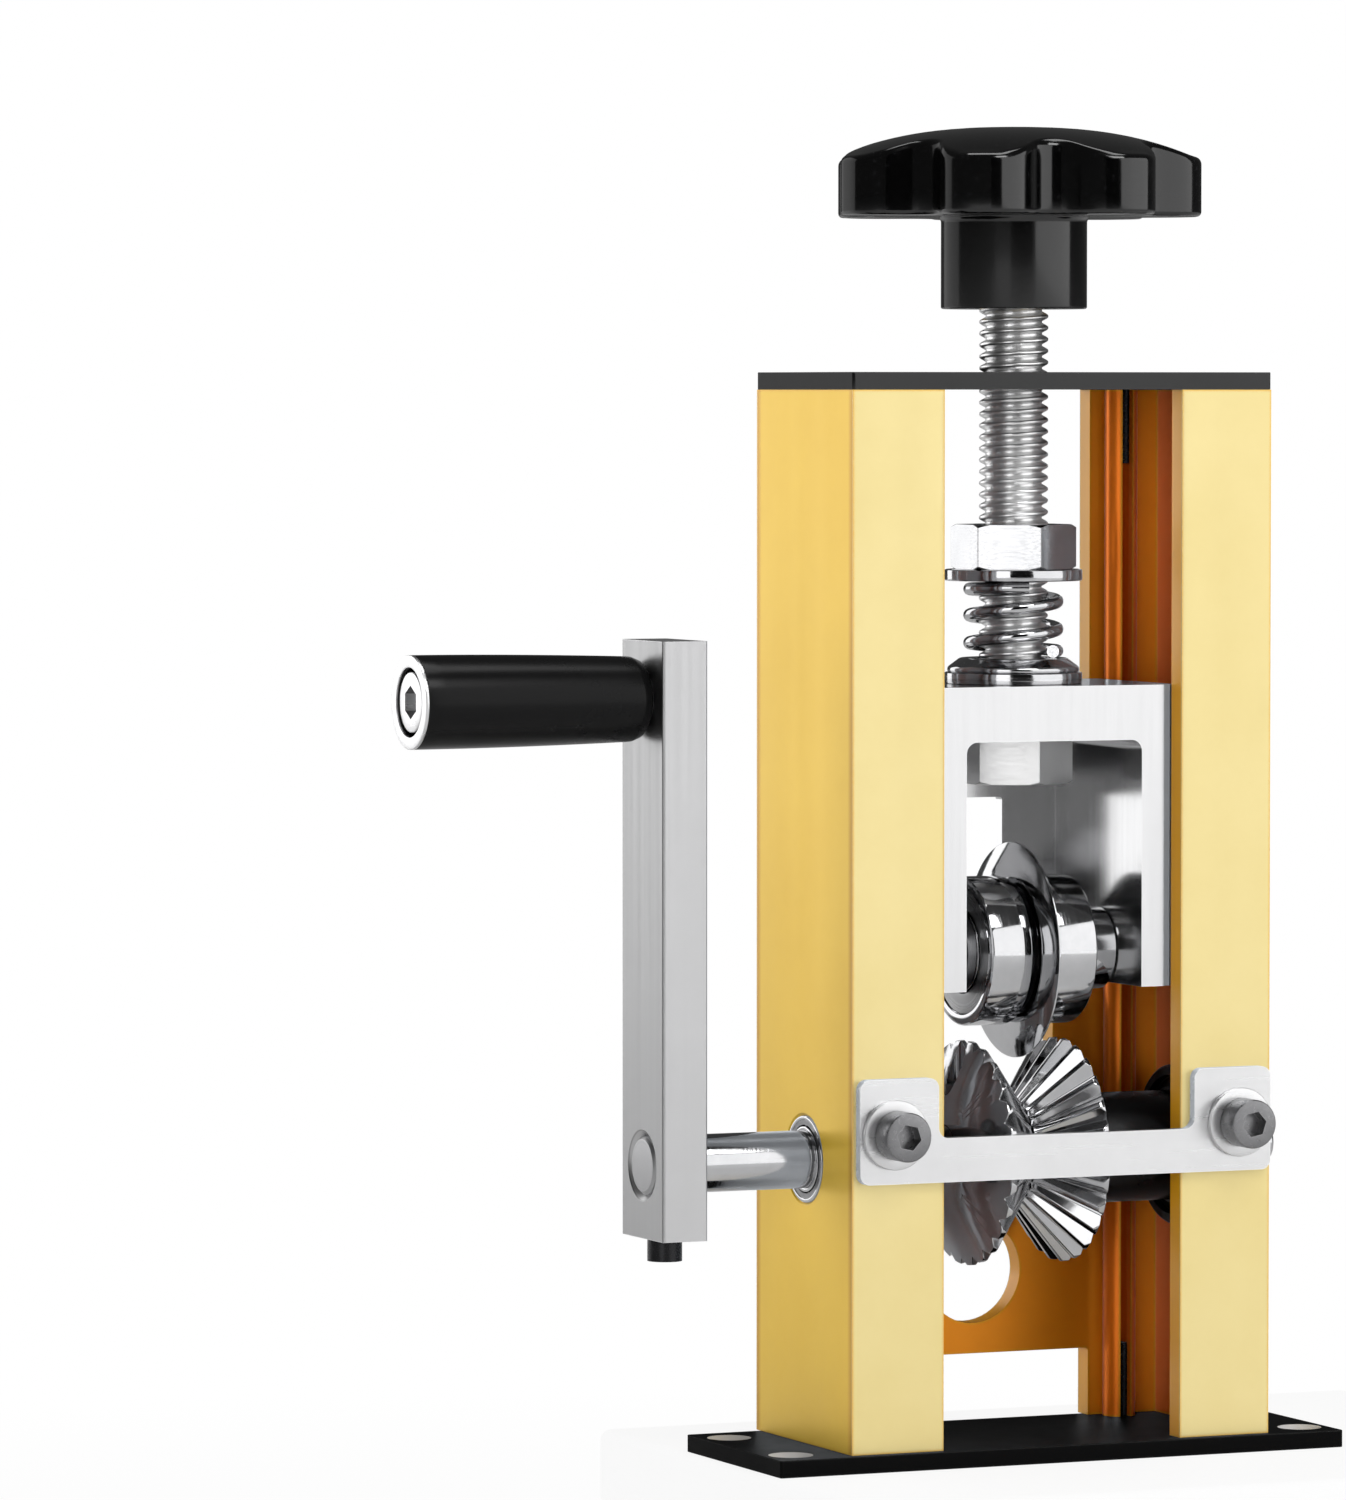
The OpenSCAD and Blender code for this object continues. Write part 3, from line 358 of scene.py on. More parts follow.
def makeHandledGroup():
    # faint finger marks and a few fine specks of dust
    group, start, end = newGroup("handledMarks", {"Size": 60.0}, ("Marks", "Specks"))
    marks = noiseNode(group, start.outputs["Vector"], Detail=5.0, Roughness=0.65)
    group.links.new(start.outputs["Size"], marks.inputs["Scale"])
    specks = noiseNode(group, start.outputs["Vector"], Detail=1.0)
    speckSize = mathNode(group, "MULTIPLY", start.outputs["Size"], speckScale)
    group.links.new(speckSize, specks.inputs["Scale"])
    group.links.new(marks.outputs["Fac"], end.inputs["Marks"])
    group.links.new(specks.outputs["Fac"], end.inputs["Specks"])
    return group


edgeBlend = {"steady": 0.4, "gain": 5.0}


def makeEdgeGroup():
    # 1 along outer edges, where the finishes blend in an edge colour
    group, start, end = newGroup("edgeTone", {"Reach": 0.0006, "Ragged": 900.0}, ("Edge",))
    bevel = newNode(group, "Bevel")
    bevel.samples = 6
    group.links.new(start.outputs["Reach"], bevel.inputs["Radius"])
    geometry = newNode(group, "NewGeometry")
    dot = newNode(group, "VectorMath")
    dot.operation = "DOT_PRODUCT"
    group.links.new(bevel.outputs[0], dot.inputs[0])
    group.links.new(geometry.outputs["Normal"], dot.inputs[1])
    noise = noiseNode(group, start.outputs["Vector"])
    group.links.new(start.outputs["Ragged"], noise.inputs["Scale"])
    turned = mathNode(group, "SUBTRACT", 1.0, dot.outputs["Value"])
    share = mathNode(group, "ADD", noise.outputs["Fac"], edgeBlend["steady"])
    ragged = mathNode(group, "MULTIPLY", turned, share)
    edge = mathNode(group, "MULTIPLY", ragged, edgeBlend["gain"])
    capped = mathNode(group, "MINIMUM", edge, 1.0)
    group.links.new(capped, end.inputs["Edge"])
    return group


groups = {
    "grain": makeGrainGroup(),
    "turned": makeTurnedGroup(),
    "handled": makeHandledGroup(),
    "edge": makeEdgeGroup(),
}
print("node groups made")


class Finish:
    # one material and the few nodes that most finishes share
    def __init__(self, name):
        self.material = bpy.data.materials.new(name)
        self.material.use_nodes = True
        self.tree = self.material.node_tree
        self.shader = self.tree.nodes["Principled BSDF"]
        self.coords = newNode(self.tree, "TexCoord").outputs["Object"]

    def link(self, output, socket):
        self.tree.links.new(output, socket)

    def put(self, **values):
        names = {"metallic": "Metallic", "roughness": "Roughness", "coat": "Coat Weight",
                 "coatRoughness": "Coat Roughness", "specular": "Specular IOR Level", "ior": "IOR"}
        for key, value in values.items():
            self.shader.inputs[names[key]].default_value = value

    def group(self, key, vector=None, **values):
        node = newNode(self.tree, "Group")
        node.node_tree = groups[key]
        self.link(vector or self.coords, node.inputs["Vector"])
        for label, value in values.items():
            node.inputs[label].default_value = value
        return node

    def mapped(self, location=(0, 0, 0), rotation=(0, 0, 0)):
        node = newNode(self.tree, "Mapping")
        node.vector_type = "POINT"
        node.inputs["Location"].default_value = location
        node.inputs["Rotation"].default_value = rotation
        self.link(self.coords, node.inputs["Vector"])
        return node.outputs[0]

    def calc(self, operation, *values):
        return mathNode(self.tree, operation, *values)

    def split(self):
        node = newNode(self.tree, "SeparateXYZ")
        self.link(self.coords, node.inputs[0])
        return node.outputs

    def spread(self, factor, low, high, fromLow=0.3, fromHigh=0.7):
        node = newNode(self.tree, "MapRange")
        ends = {"From Min": fromLow, "From Max": fromHigh, "To Min": low, "To Max": high}
        for label, value in ends.items():
            node.inputs[label].default_value = value
        self.link(factor, node.inputs["Value"])
        return node.outputs[0]

    def blendColours(self, factor, first, second):
        node = newNode(self.tree, "Mix")
        node.data_type = "RGBA"
        self.link(factor, node.inputs["Factor"])
        # sockets 6 and 7 of the Mix node take the colours, and output 2 gives the mixed one
        for value, socket in zip((first, second), node.inputs[6:8]):
            plug(self.tree, value if hasattr(value, "links") else (*value, 1), socket)
        return node.outputs[2]

    def bump(self, height, strength, distance):
        node = newNode(self.tree, "Bump")
        node.inputs["Strength"].default_value = strength
        node.inputs["Distance"].default_value = distance
        self.link(height, node.inputs["Height"])
        self.link(node.outputs["Normal"], self.shader.inputs["Normal"])

    def feed(self, label, output):
        self.link(output, self.shader.inputs[label])


# colours, then in metres the places where one colour ends and the next begins
# several gold colours are painted light and shade: the front colours, the corner, lip and inside colours, and
# the grey shown in reflections
anodised = {"deep": (0.90, 0.57, 0.03), "pale": (0.96, 0.63, 0.05), "litFrontDeep": (0.80, 0.655, 0.28),
            "litFrontPale": (0.85, 0.71, 0.33), "lip": (1.0, 0.47, 0.012), "inside": (1.0, 0.22, 0.002),
            "rearInside": (1.0, 0.33, 0.004), "corner": (0.64, 0.31, 0.01),
            "paintedReflectionGrey": (0.77, 0.81, 0.85), "edgeAndSpeckTone": (0.80, 0.42, 0.02),
            "cornerShadeFrom": 0.0180, "cornerShadeTo": 0.0196, "sideX": 0.0397, "rearY": 0.0155,
            "insideX": 0.0362, "insideY": 0.0162, "frontY": 0.0197, "lipX": 0.0233,
            "metallic": 0.35, "insideMetallic": 0.5, "lipMetallic": 0.05, "specular": 0.45,
            "roughLow": 0.33, "roughHigh": 0.38, "grain": (1500.0, 1500.0, 9.0), "marks": 28.0,
            "edgeReach": 0.0009, "bump": 0.12, "bumpHigh": 0.00004}


def makeAnodised():
    f = Finish("goldAnodised")
    a = anodised
    f.put(specular=a["specular"])
    grain = f.group("grain", Stretch=a["grain"])
    marks = f.group("handled", Size=a["marks"])
    edge = f.group("edge", Reach=a["edgeReach"])
    cloud = f.spread(marks.outputs["Marks"], 0.0, 1.0)
    side = f.blendColours(cloud, a["deep"], a["pale"])
    litFront = f.blendColours(cloud, a["litFrontDeep"], a["litFrontPale"])
    # the front and back are painted paler than the sides as painted light, the sides darker at their corners
    # as painted shade, and the inside of the profile deep orange-red as painted shade and painted reflection
    # of the gold walls
    split = f.split()
    fromX = f.calc("ABSOLUTE", split["X"])
    fromY = f.calc("ABSOLUTE", split["Y"])
    # painted highlight: the slot's edge faces are painted a bright, nearly non-metallic orange-gold
    lip = f.calc("LESS_THAN", fromX, a["lipX"])
    # painted shade: the side faces are painted darker near their front and back corners
    corner = f.calc("MULTIPLY", f.calc("GREATER_THAN", fromX, a["sideX"]),
                    f.spread(fromY, 0.0, 1.0, a["cornerShadeFrom"], a["cornerShadeTo"]))
    side = f.blendColours(corner, side, a["corner"])
    base = f.blendColours(lip, side, a["lip"])
    # painted light: the front and back faces are painted paler than the sides
    base = f.blendColours(f.calc("GREATER_THAN", fromY, a["frontY"]), base, litFront)
    # painted shade and painted reflection: the inside of the profile is painted deep orange-red, less deep on
    # the rear wall, which more light reaches
    inner = f.calc("MULTIPLY", f.calc("LESS_THAN", fromX, a["insideX"]),
                   f.calc("LESS_THAN", fromY, a["insideY"]))
    rear = f.calc("GREATER_THAN", split["Y"], a["rearY"])
    base = f.blendColours(inner, base, f.blendColours(rear, a["inside"], a["rearInside"]))
    metallic = f.spread(lip, a["metallic"], a["lipMetallic"], 0.0, 1.0)
    f.feed("Metallic", f.calc("MAXIMUM", metallic, f.calc("MULTIPLY", inner, a["insideMetallic"])))
    # painted edge shade: the gold is painted a deeper orange along its edges
    base = f.blendColours(edge.outputs["Edge"], base, a["edgeAndSpeckTone"])
    # to glossy rays the gold is painted a neutral grey, a painted reflection colour, so polished steel
    # mirrors it as grey and keeps its own grey
    path = newNode(f.tree, "LightPath")
    f.feed("Base Color", f.blendColours(path.outputs["Is Glossy Ray"], base, a["paintedReflectionGrey"]))
    f.feed("Roughness", f.spread(grain.outputs["Broad"], a["roughLow"], a["roughHigh"]))
    f.bump(grain.outputs["Grain"], a["bump"], a["bumpHigh"])
    return f.material


# holeX, holeY, forward and sunk find the countersinks of the base plate, in metres
blackCoat = {"colour": (0.005, 0.005, 0.0052), "edgeAndSpeckTone": (0.06, 0.06, 0.06), "holeGrey": (0.62, 0.62, 0.63),
             "holeX": 0.049, "holeY": 0.013, "forward": 0.0015, "sunk": 0.00385, "marks": 45.0,
             "edgeReach": 0.0004, "bump": 0.15, "bumpHigh": 0.00003}


def makeBlackCoat(name, roughLow, roughHigh, specular, greyHoles=False):
    f = Finish(name)
    b = blackCoat
    f.put(specular=specular)
    marks = f.group("handled", Size=b["marks"])
    edge = f.group("edge", Reach=b["edgeReach"])
    base = f.blendColours(edge.outputs["Edge"], b["colour"], b["edgeAndSpeckTone"])
    if greyHoles:
        # the countersinks are coloured a light grey
        split = f.split()
        fromX = f.calc("SUBTRACT", f.calc("ABSOLUTE", split["X"]), b["holeX"])
        shifted = f.calc("ABSOLUTE", f.calc("ADD", split["Y"], b["forward"]))
        fromY = f.calc("SUBTRACT", shifted, b["holeY"])
        squares = [f.calc("MULTIPLY", value, value) for value in (fromX, fromY)]
        away = f.calc("SQRT", f.calc("ADD", *squares))
        base = f.blendColours(f.calc("LESS_THAN", away, b["sunk"]), base, b["holeGrey"])
    f.feed("Base Color", base)
    f.feed("Roughness", f.spread(marks.outputs["Marks"], roughLow, roughHigh))
    f.bump(marks.outputs["Specks"], b["bump"], b["bumpHigh"])
    return f.material


glossPlastic = {"colour": (0.0015, 0.0015, 0.0016), "edgeAndSpeckTone": (0.012, 0.012, 0.013), "roughLow": 0.10,
                "roughHigh": 0.19, "specular": 0.5, "coat": 0.2, "coatRoughness": 0.06, "marks": 38.0,
                "speckFrom": 0.62, "speckTo": 0.8, "bump": 0.04, "bumpHigh": 0.0002}


def makeGlossPlastic():
    f = Finish("glossBlack")
    g = glossPlastic
    f.put(specular=g["specular"], coat=g["coat"], coatRoughness=g["coatRoughness"])
    marks = f.group("handled", Size=g["marks"])
    specks = f.spread(marks.outputs["Specks"], 0.0, 1.0, g["speckFrom"], g["speckTo"])
    f.feed("Base Color", f.blendColours(specks, g["colour"], g["edgeAndSpeckTone"]))
    f.feed("Roughness", f.spread(marks.outputs["Marks"], g["roughLow"], g["roughHigh"]))
    f.bump(marks.outputs["Marks"], g["bump"], g["bumpHigh"])
    return f.material


metal = {"marks": 70.0, "edgeReach": 0.0003, "shadeFrom": 0.35, "shadeTo": 0.75, "edgeGain": 1.25,
         "edgeCap": 0.9, "bumpHigh": 0.00002, "fineness": 2600.0}


def makeMetal(name, light, dark, roughLow, roughHigh, location=(0, 0, 0), rotation=(0, 0, 0),
              ringStrength=0.10, stretch=None, shadedEndX=None, endRough=0.3, endShade=1.0):
    # bright steel, turned where stretch is None and ground in one direction otherwise
    f = Finish(name)
    f.put(metallic=1.0)
    marks = f.group("handled", Size=metal["marks"])
    edge = f.group("edge", Reach=metal["edgeReach"])
    if stretch is None:
        rings = f.group("turned", f.mapped(location, rotation), Fineness=metal["fineness"])
        lines = rings.outputs["Rings"]
    else:
        lines = f.group("grain", Stretch=stretch).outputs["Grain"]
    shadeShare = f.spread(marks.outputs["Marks"], 0.0, 1.0, metal["shadeFrom"], metal["shadeTo"])
    base = f.blendColours(shadeShare, light, dark)
    rough = f.spread(lines, roughLow, roughHigh)
    if shadedEndX is not None:
        # the end or face beyond this X is painted darker, a painted shade of the side turned from the light,
        # and may be made rougher, as on the ground end of the shaft
        shadedEnd = f.calc("LESS_THAN", f.split()["X"], shadedEndX)
        rough = f.calc("ADD", rough, f.calc("MULTIPLY", shadedEnd, endRough))
        base = f.blendColours(shadedEnd, base, [endShade * c for c in light])
    edgeAndSpeckTone = [min(metal["edgeCap"], metal["edgeGain"] * c) for c in light]
    f.feed("Base Color", f.blendColours(edge.outputs["Edge"], base, edgeAndSpeckTone))
    f.feed("Roughness", rough)
    f.bump(lines, ringStrength, metal["bumpHigh"])
    return f.material


# turned pieces have their rings round the shaft, the blade axle or the upright screw
onShaft, onAxle, onScrew = (0, 0, -0.0522), (0, 0, -0.0874), (0, 0, 0)
upright = (0, quarter, 0)
bright, shade = (0.56, 0.56, 0.57), (0.45, 0.455, 0.465)
allWays = (1500.0, 1500.0, 1500.0)
finishes = {
    "gold": makeAnodised(),
    "blackCoat": makeBlackCoat("blackCoat", 0.26, 0.34, 0.45),
    "benchCoat": makeBlackCoat("benchCoat", 0.36, 0.46, 0.02, True),
    "housingBlack": makeBlackCoat("housingBlack", 0.20, 0.30, 0.5),
    "satinBlack": makeBlackCoat("satinBlack", 0.24, 0.30, 0.13),
    "gloss": makeGlossPlastic(),
    # the shaft's left end is made rougher and painted darker: painted shade, as on the arm's left face
    "shaftSteel": makeMetal(
        "polishedShaft", bright, shade, 0.05, 0.15, onShaft, shadedEndX=-0.0695, endShade=0.68),
    "wheelSteel": makeMetal("polishedWheel", bright, shade, 0.08, 0.14, onShaft, ringStrength=0.02),
    "axleSteel": makeMetal("polishedAxle", bright, shade, 0.04, 0.12, onAxle),
    "screwSteel": makeMetal("polishedScrew", bright, shade, 0.06, 0.16, onScrew, upright),
    "threadSteel": makeMetal(
        "satinThread", (0.86, 0.86, 0.86), (0.78, 0.78, 0.78), 0.30, 0.38, onScrew, upright),
    "yokeSteel": makeMetal(
        "polishedYoke", (0.56, 0.56, 0.565), (0.55, 0.55, 0.555), 0.16, 0.19,
        stretch=(700.0, 700.0, 30.0), ringStrength=0.02),
    "guideSteel": makeMetal(
        "satinGuide", (0.68, 0.68, 0.685), (0.63, 0.63, 0.635), 0.26, 0.34,
        stretch=(25.0, 900.0, 900.0), ringStrength=0.05),
    # the arm's left face is painted darker: painted shade of the side turned from the light
    "armSteel": makeMetal(
        "groundArm", (0.51, 0.51, 0.515), (0.49, 0.49, 0.495), 0.32, 0.38, stretch=(1100.0, 1100.0, 18.0),
        ringStrength=0.08, shadedEndX=-0.0702, endRough=0.0, endShade=0.68),
    "shieldSteel": makeMetal(
        "pressedShields", (0.34, 0.34, 0.345), (0.26, 0.26, 0.265), 0.24, 0.36, onAxle, ringStrength=0.05),
    "darkSteel": makeMetal(
        "darkScrews", (0.24, 0.24, 0.245), (0.15, 0.15, 0.155), 0.24, 0.40, stretch=allWays),
    "blackSteel": makeMetal(
        "blackScrews", (0.035, 0.035, 0.037), (0.02, 0.02, 0.021), 0.20, 0.32, stretch=allWays),
    "brass": makeMetal("turnedBrass", (0.60, 0.44, 0.19), (0.46, 0.32, 0.12), 0.16, 0.30, onScrew, upright),
}
print("finishes made:", len(finishes))

# body, plates, guide bar, yoke, arm, housing and wheels: softened copies of the CAD nodes
# name: (node, body, slot, finish, width of the soft edges in mm, segments)
softened = {
    "bodyShell": ("body_extrusion", "frame", "gold_aluminium", "gold", 0.30, 2),
    "topCover": ("top_plate", "frame", "black_plate", "blackCoat", 0.30, 2),
    "benchPlate": ("base_plate", "frame", "black_plate", "benchCoat", 0.30, 2),
    "guideStrap": ("guide_bar", "frame", "guide_steel", "guideSteel", 0.35, 3),
    "yokeBlock": ("yoke", "yoke", "polished_steel", "yokeSteel", 0.40, 3),
    "crankBar": ("crank_arm", "crank", "arm_steel", "armSteel", 0.35, 3),
    "bearingFlange": ("right_bearing_housing", "frame", "black_housing", "housingBlack", 0.25, 2),
    "leftWheelTeeth": ("left_feed_wheel", "crank", "polished_steel", "wheelSteel", 0.10, 1),
    "rightWheelTeeth": ("right_feed_wheel", "crank", "polished_steel", "wheelSteel", 0.10, 1),
}
for pieceName, (nodeName, body, slot, finish, width, segments) in softened.items():
    copy = softenedCopy(nodeName, pieceName, width, segments)
    dress(copy, body, slot, finish, nodeName)
    print("softened", pieceName, len(copy.data.polygons), "faces")

# star knob: seven lobes under a low crown, with a hub
knob = {"low": 215.0, "rim": 10.3, "crown": 5.2, "power": 2.6, "radius": 32.5, "lobe": 8.2,
        "hollowDeep": 7.6, "lobes": 7, "turn": -23.5, "edge": 1.2, "topRound": 1.3, "bottomRound": 0.8,
        "hub": 12.7, "hubLow": 199.0, "flare": 0.5, "steps": 196, "lobeOut": 0.3, "topAngle": 72,
        "middle": 12.0, "layer": 0.0005, "lowSteps": 4, "topSteps": 6, "wallShares": (0.35, 0.7, 1.0),
        "crownShares": (0.97, 0.93, 0.88, 0.82, 0.75, 0.67, 0.58, 0.48, 0.38, 0.28, 0.18, 0.09, 0.0),
        "sharp": 40, "hubBore": 8.5, "hubIn": 0.6, "flareDeep": 0.7, "lip": 0.05}


def knobOutline(angle):
    # round lobes with round hollows between them, which touch the lobes
    full, lobe, half = knob["radius"], knob["lobe"], math.pi / knob["lobes"]
    centre, inner = full + knob["lobeOut"] - lobe, full - knob["hollowDeep"]
    hollow = (lobe ** 2 - inner ** 2 - centre ** 2 + 2 * inner * centre * math.cos(half)) / (
        2 * (inner - centre * math.cos(half) - lobe))
    hollowCentre = inner + hollow
    offset = (angle - math.radians(knob["turn"])) % (2 * half)
    offset = min(offset, 2 * half - offset)
    touchX = centre + (hollowCentre * math.cos(half) - centre) * lobe / (lobe + hollow)
    touchY = hollowCentre * math.sin(half) * lobe / (lobe + hollow)
    if offset <= math.atan2(touchY, touchX):
        across = centre * math.sin(offset)
        reach = centre * math.cos(offset) + math.sqrt(max(0.0, lobe ** 2 - across ** 2))
    else:
        turn = half - offset
        across = hollowCentre * math.sin(turn)
        reach = hollowCentre * math.cos(turn) - math.sqrt(max(0.0, hollow ** 2 - across ** 2))
    return min(reach, full)


def crownHeight(radius):
    share = min(1.0, radius / (knob["radius"] - knob["edge"]))
    return knob["rim"] + knob["crown"] * (1 - share ** knob["power"])


def knobPoint(kind, share, outline):
    low, high, full = knob["bottomRound"], knob["topRound"], math.radians(knob["topAngle"])
    wallTop = crownHeight(outline) - high
    inset = outline - high + high * math.cos(full)
    if kind == "under":
        return (knob["middle"] if share == 0.0 else outline - low), 0.0
    if kind == "lowRound":
        return outline - low + low * math.sin(share * quarter), low - low * math.cos(share * quarter)
    if kind == "wall":
        return outline, low + (wallTop - low) * share
    if kind == "topRound":
        radius = outline - high + high * math.cos(share * full)
        return radius, wallTop + (crownHeight(radius) - wallTop) * math.sin(share * full) / math.sin(full)
    return inset * share, crownHeight(inset * share)


def makeKnob():
    steps = knob["steps"]
    bpy.ops.mesh.primitive_circle_add(vertices=steps, radius=knob["radius"] * mm, fill_type="NOTHING")
    piece = named("starGrip")
    piece.data.name = "starGrip"
    # rows from the middle of the underside, round the rim and up over the crown: (kind, share of it)
    rows = [("under", 0.0), ("under", 1.0)]
    rows += [("lowRound", k / knob["lowSteps"]) for k in range(1, knob["lowSteps"] + 1)]
    rows += [("wall", share) for share in knob["wallShares"]]
    rows += [("topRound", k / knob["topSteps"]) for k in range(1, knob["topSteps"] + 1)]
    rows += [("crown", share) for share in knob["crownShares"]]
    editAll(piece)
    for _ in rows[1:]:
        bpy.ops.mesh.extrude_region_move(TRANSFORM_OT_translate={"value": (0, 0, knob["layer"])})
    backToObject()
    for vert in piece.data.vertices:
        kind, share = rows[round(vert.co.z / knob["layer"])]
        angle = math.atan2(vert.co.y, vert.co.x)
        radius, height = knobPoint(kind, share, knobOutline(angle))
        x, y = radius * math.cos(angle) * mm, radius * math.sin(angle) * mm
        vert.co = (x, y, (knob["low"] + height) * mm)
    weldPiece(piece)
    smoothByAngle(piece, knob["sharp"])
    bore, low, hubTop = knob["hubBore"], knob["low"], knob["low"] + knob["hubIn"]
    wide, bottom, flared = knob["hub"], knob["hubLow"], knob["hub"] + knob["flare"]
    hubLoop = [(bore, bottom), (wide, bottom), (wide, low - knob["flareDeep"]),
               (flared, low - knob["lip"]), (flared, hubTop), (bore, hubTop)]
    hub = turnedPiece("starHub", hubLoop, rounding=0.4, steps=160)
    joined = joinPieces([piece, hub], "starGrip")
    dress(joined, "knob_and_screw", "black_plastic", "gloss", "star_knob")
    print("star knob made")


makeKnob()

# adjusting screw: one helical thread and a hexagonal head
# tooth: (radius, place along the pitch)
screw = {"pitch": 2.0, "root": 4.9, "threadLow": 124.8, "turns": 47, "headTop": 124.3, "headHigh": 7.8,
         "headFlats": 18.0, "turn": 30.0, "coreUp": 0.03, "coreIn": 0.3, "neck": (0.4, 0.8), "sunk": 0.6,
         "short": 1.0, "perTurn": 40,
         "tooth": ((4.9, 0.0), (4.9, 0.22), (5.72, 0.66), (5.95, 0.84), (6.0, 1.0), (6.0, 1.16),
                   (5.95, 1.32), (5.72, 1.50), (4.9, 1.94), (4.9, 2.0))}
chamfer = {"out": 1, "deep": 1.1, "in": 0.9, "past": 0.02}


def chamferedHex(name, flats, low, high, bothEnds, turn=0):
    corner, c = flats / math.sqrt(3), chamfer
    prism = hexPrism(name, flats, high - low, at=(0, 0, (low + high) / 2), turn=turn)
    bottom, top, wide, thin = low - c["past"], high + c["past"], corner + c["out"], corner - c["in"]
    topLine = [(wide, high - c["deep"]), (thin, top)] if bothEnds else [(wide, top)]
    coneLine = [(0, bottom), (thin, bottom), (wide, low + c["deep"])] + topLine + [(0, top)]
    cone = turnedPiece("chamferTool", coneLine, rounding=0.0, steps=96)
    cutAway(prism, cone, "INTERSECT")
    return prism


def makeScrew():
    s = screw
    rod = drawnLine("threadedRod", [(r, s["threadLow"] + z) for r, z in s["tooth"]])
    wind = rod.modifiers.new("thread", "SCREW")
    wind.angle = 2 * math.pi
    wind.screw_offset = s["pitch"] * mm
    wind.iterations = s["turns"]
    wind.steps = wind.render_steps = s["perTurn"]
    wind.use_merge_vertices = True
    wind.merge_threshold = weld["cad"]
    applyModifiers(rod)
    weldPiece(rod)
    smoothByAngle(rod, degrees=50)
    low, top = s["threadLow"], s["threadLow"] + s["turns"] * s["pitch"] - s["short"]
    wide, thin = s["root"] + s["coreUp"], s["root"] - s["coreIn"]
    start, (neckLow, neckHigh) = s["headTop"] - s["sunk"], s["neck"]
    coreLine = [(0, start), (wide, start), (wide, low + neckLow), (thin, low + neckHigh), (thin, top),
                (0, top)]
    core = turnedPiece("screwCore", coreLine, rounding=0.05, steps=64)
    headLow = s["headTop"] - s["headHigh"]
    head = chamferedHex("screwHead", s["headFlats"], headLow, s["headTop"], False, s["turn"])
    bevelEdges(head, width=0.22, segments=2, degrees=28)
    smoothByAngle(head, degrees=30)
    keepFacesFlat(head)
    joined = joinPieces([rod, core, head], "threadedScrew")
    dress(joined, "knob_and_screw", "polished_steel", "threadSteel", "adjusting_screw")
    print("screw made:", len(joined.data.polygons), "faces")


makeScrew()

# nut, washers and spring seat
nut = {"flats": 19.0, "low": 153.8, "high": 161.6, "bore": 6.05, "turn": 30.0, "mouth": 1.9,
       "mouthDeep": 0.9, "past": 1}


def makeNut():
    n = nut
    low, high, bore, deep, wide = n["low"], n["high"], n["bore"], n["mouthDeep"], n["bore"] + n["mouth"]
    piece = chamferedHex("lockNut", n["flats"], low, high, True, n["turn"])
    toolLine = [(0, low - n["past"]), (wide, low - n["past"]), (bore, low + deep), (bore, high - deep),
                (wide, high + n["past"]), (0, high + n["past"])]
    cutAway(piece, turnedPiece("boreTool", toolLine, rounding=0.0, steps=96))
    bevelEdges(piece, width=0.2, segments=2, degrees=26)
    smoothByAngle(piece, degrees=30)
    keepFacesFlat(piece)
    dress(piece, "knob_and_screw", "polished_steel", "screwSteel", "jam_nut")


makeNut()
stack = {"washer": 12.0, "bore": 6.3, "upper": (151.8, 153.8), "lower": (133.9, 135.9), "seatTop": 138.4,
         "seatLow": 11.5, "seatWall": 0.85, "seatHigh": 9.3}


def makeStack():
    k = stack
    for key, body in (("upper", "spring_carrier"), ("lower", "yoke")):
        washer = turnedPiece(key + "Washer", ringLoop(k["bore"], k["washer"], *k[key]), rounding=0.35)
        dress(washer, body, "polished_steel", "screwSteel", key + "_spring_washer")
    low, high, bore, wide = k["lower"][1], k["seatTop"], k["bore"], k["seatLow"]
    seatLoop = [(bore, low), (wide, low), (wide, low + k["seatWall"]), (k["seatHigh"], high), (bore, high)]
    seat = turnedPiece("springCup", seatLoop, rounding=0.4)
    dress(seat, "yoke", "polished_steel", "screwSteel", "spring_seat")


makeStack()

# pressure spring: a round wire along the same helix as in the CAD, pitch fading out at both ends
spring = {"wire": 2.2, "coil": 15.3, "turns": 2.8, "ease": 0.5, "start": -40.0, "low": 138.4, "high": 151.8,
          "gap": 0.05, "perTurn": 36}


def springPath():
    s = spring
    low = s["low"] + s["wire"] / 2 + s["gap"]
    high = s["high"] - s["wire"] / 2 - s["gap"]
    turns, ease = s["turns"], s["ease"]
    pitch = (high - low) / (turns - ease)

    def climb(t):
        if t < ease:
            return pitch * t * t / (2 * ease)
        if t > turns - ease:
            return high - low - climb(turns - t)
        return pitch * (t - ease / 2)

    steps = round(turns * s["perTurn"])
    first = math.radians(s["start"])
    last = first + 2 * math.pi * turns
    radius = s["coil"] / 2
    points = []
    for i in range(steps + 1):
        t = turns * i / steps
        angle = first + 2 * math.pi * t
        points.append(Vector((radius * math.cos(angle), radius * math.sin(angle), low + climb(t))))
    points.insert(0, points[0] - s["wire"] * Vector((-math.sin(first), math.cos(first), 0)))
    points.append(points[-1] + s["wire"] * Vector((-math.sin(last), math.cos(last), 0)))
    return points


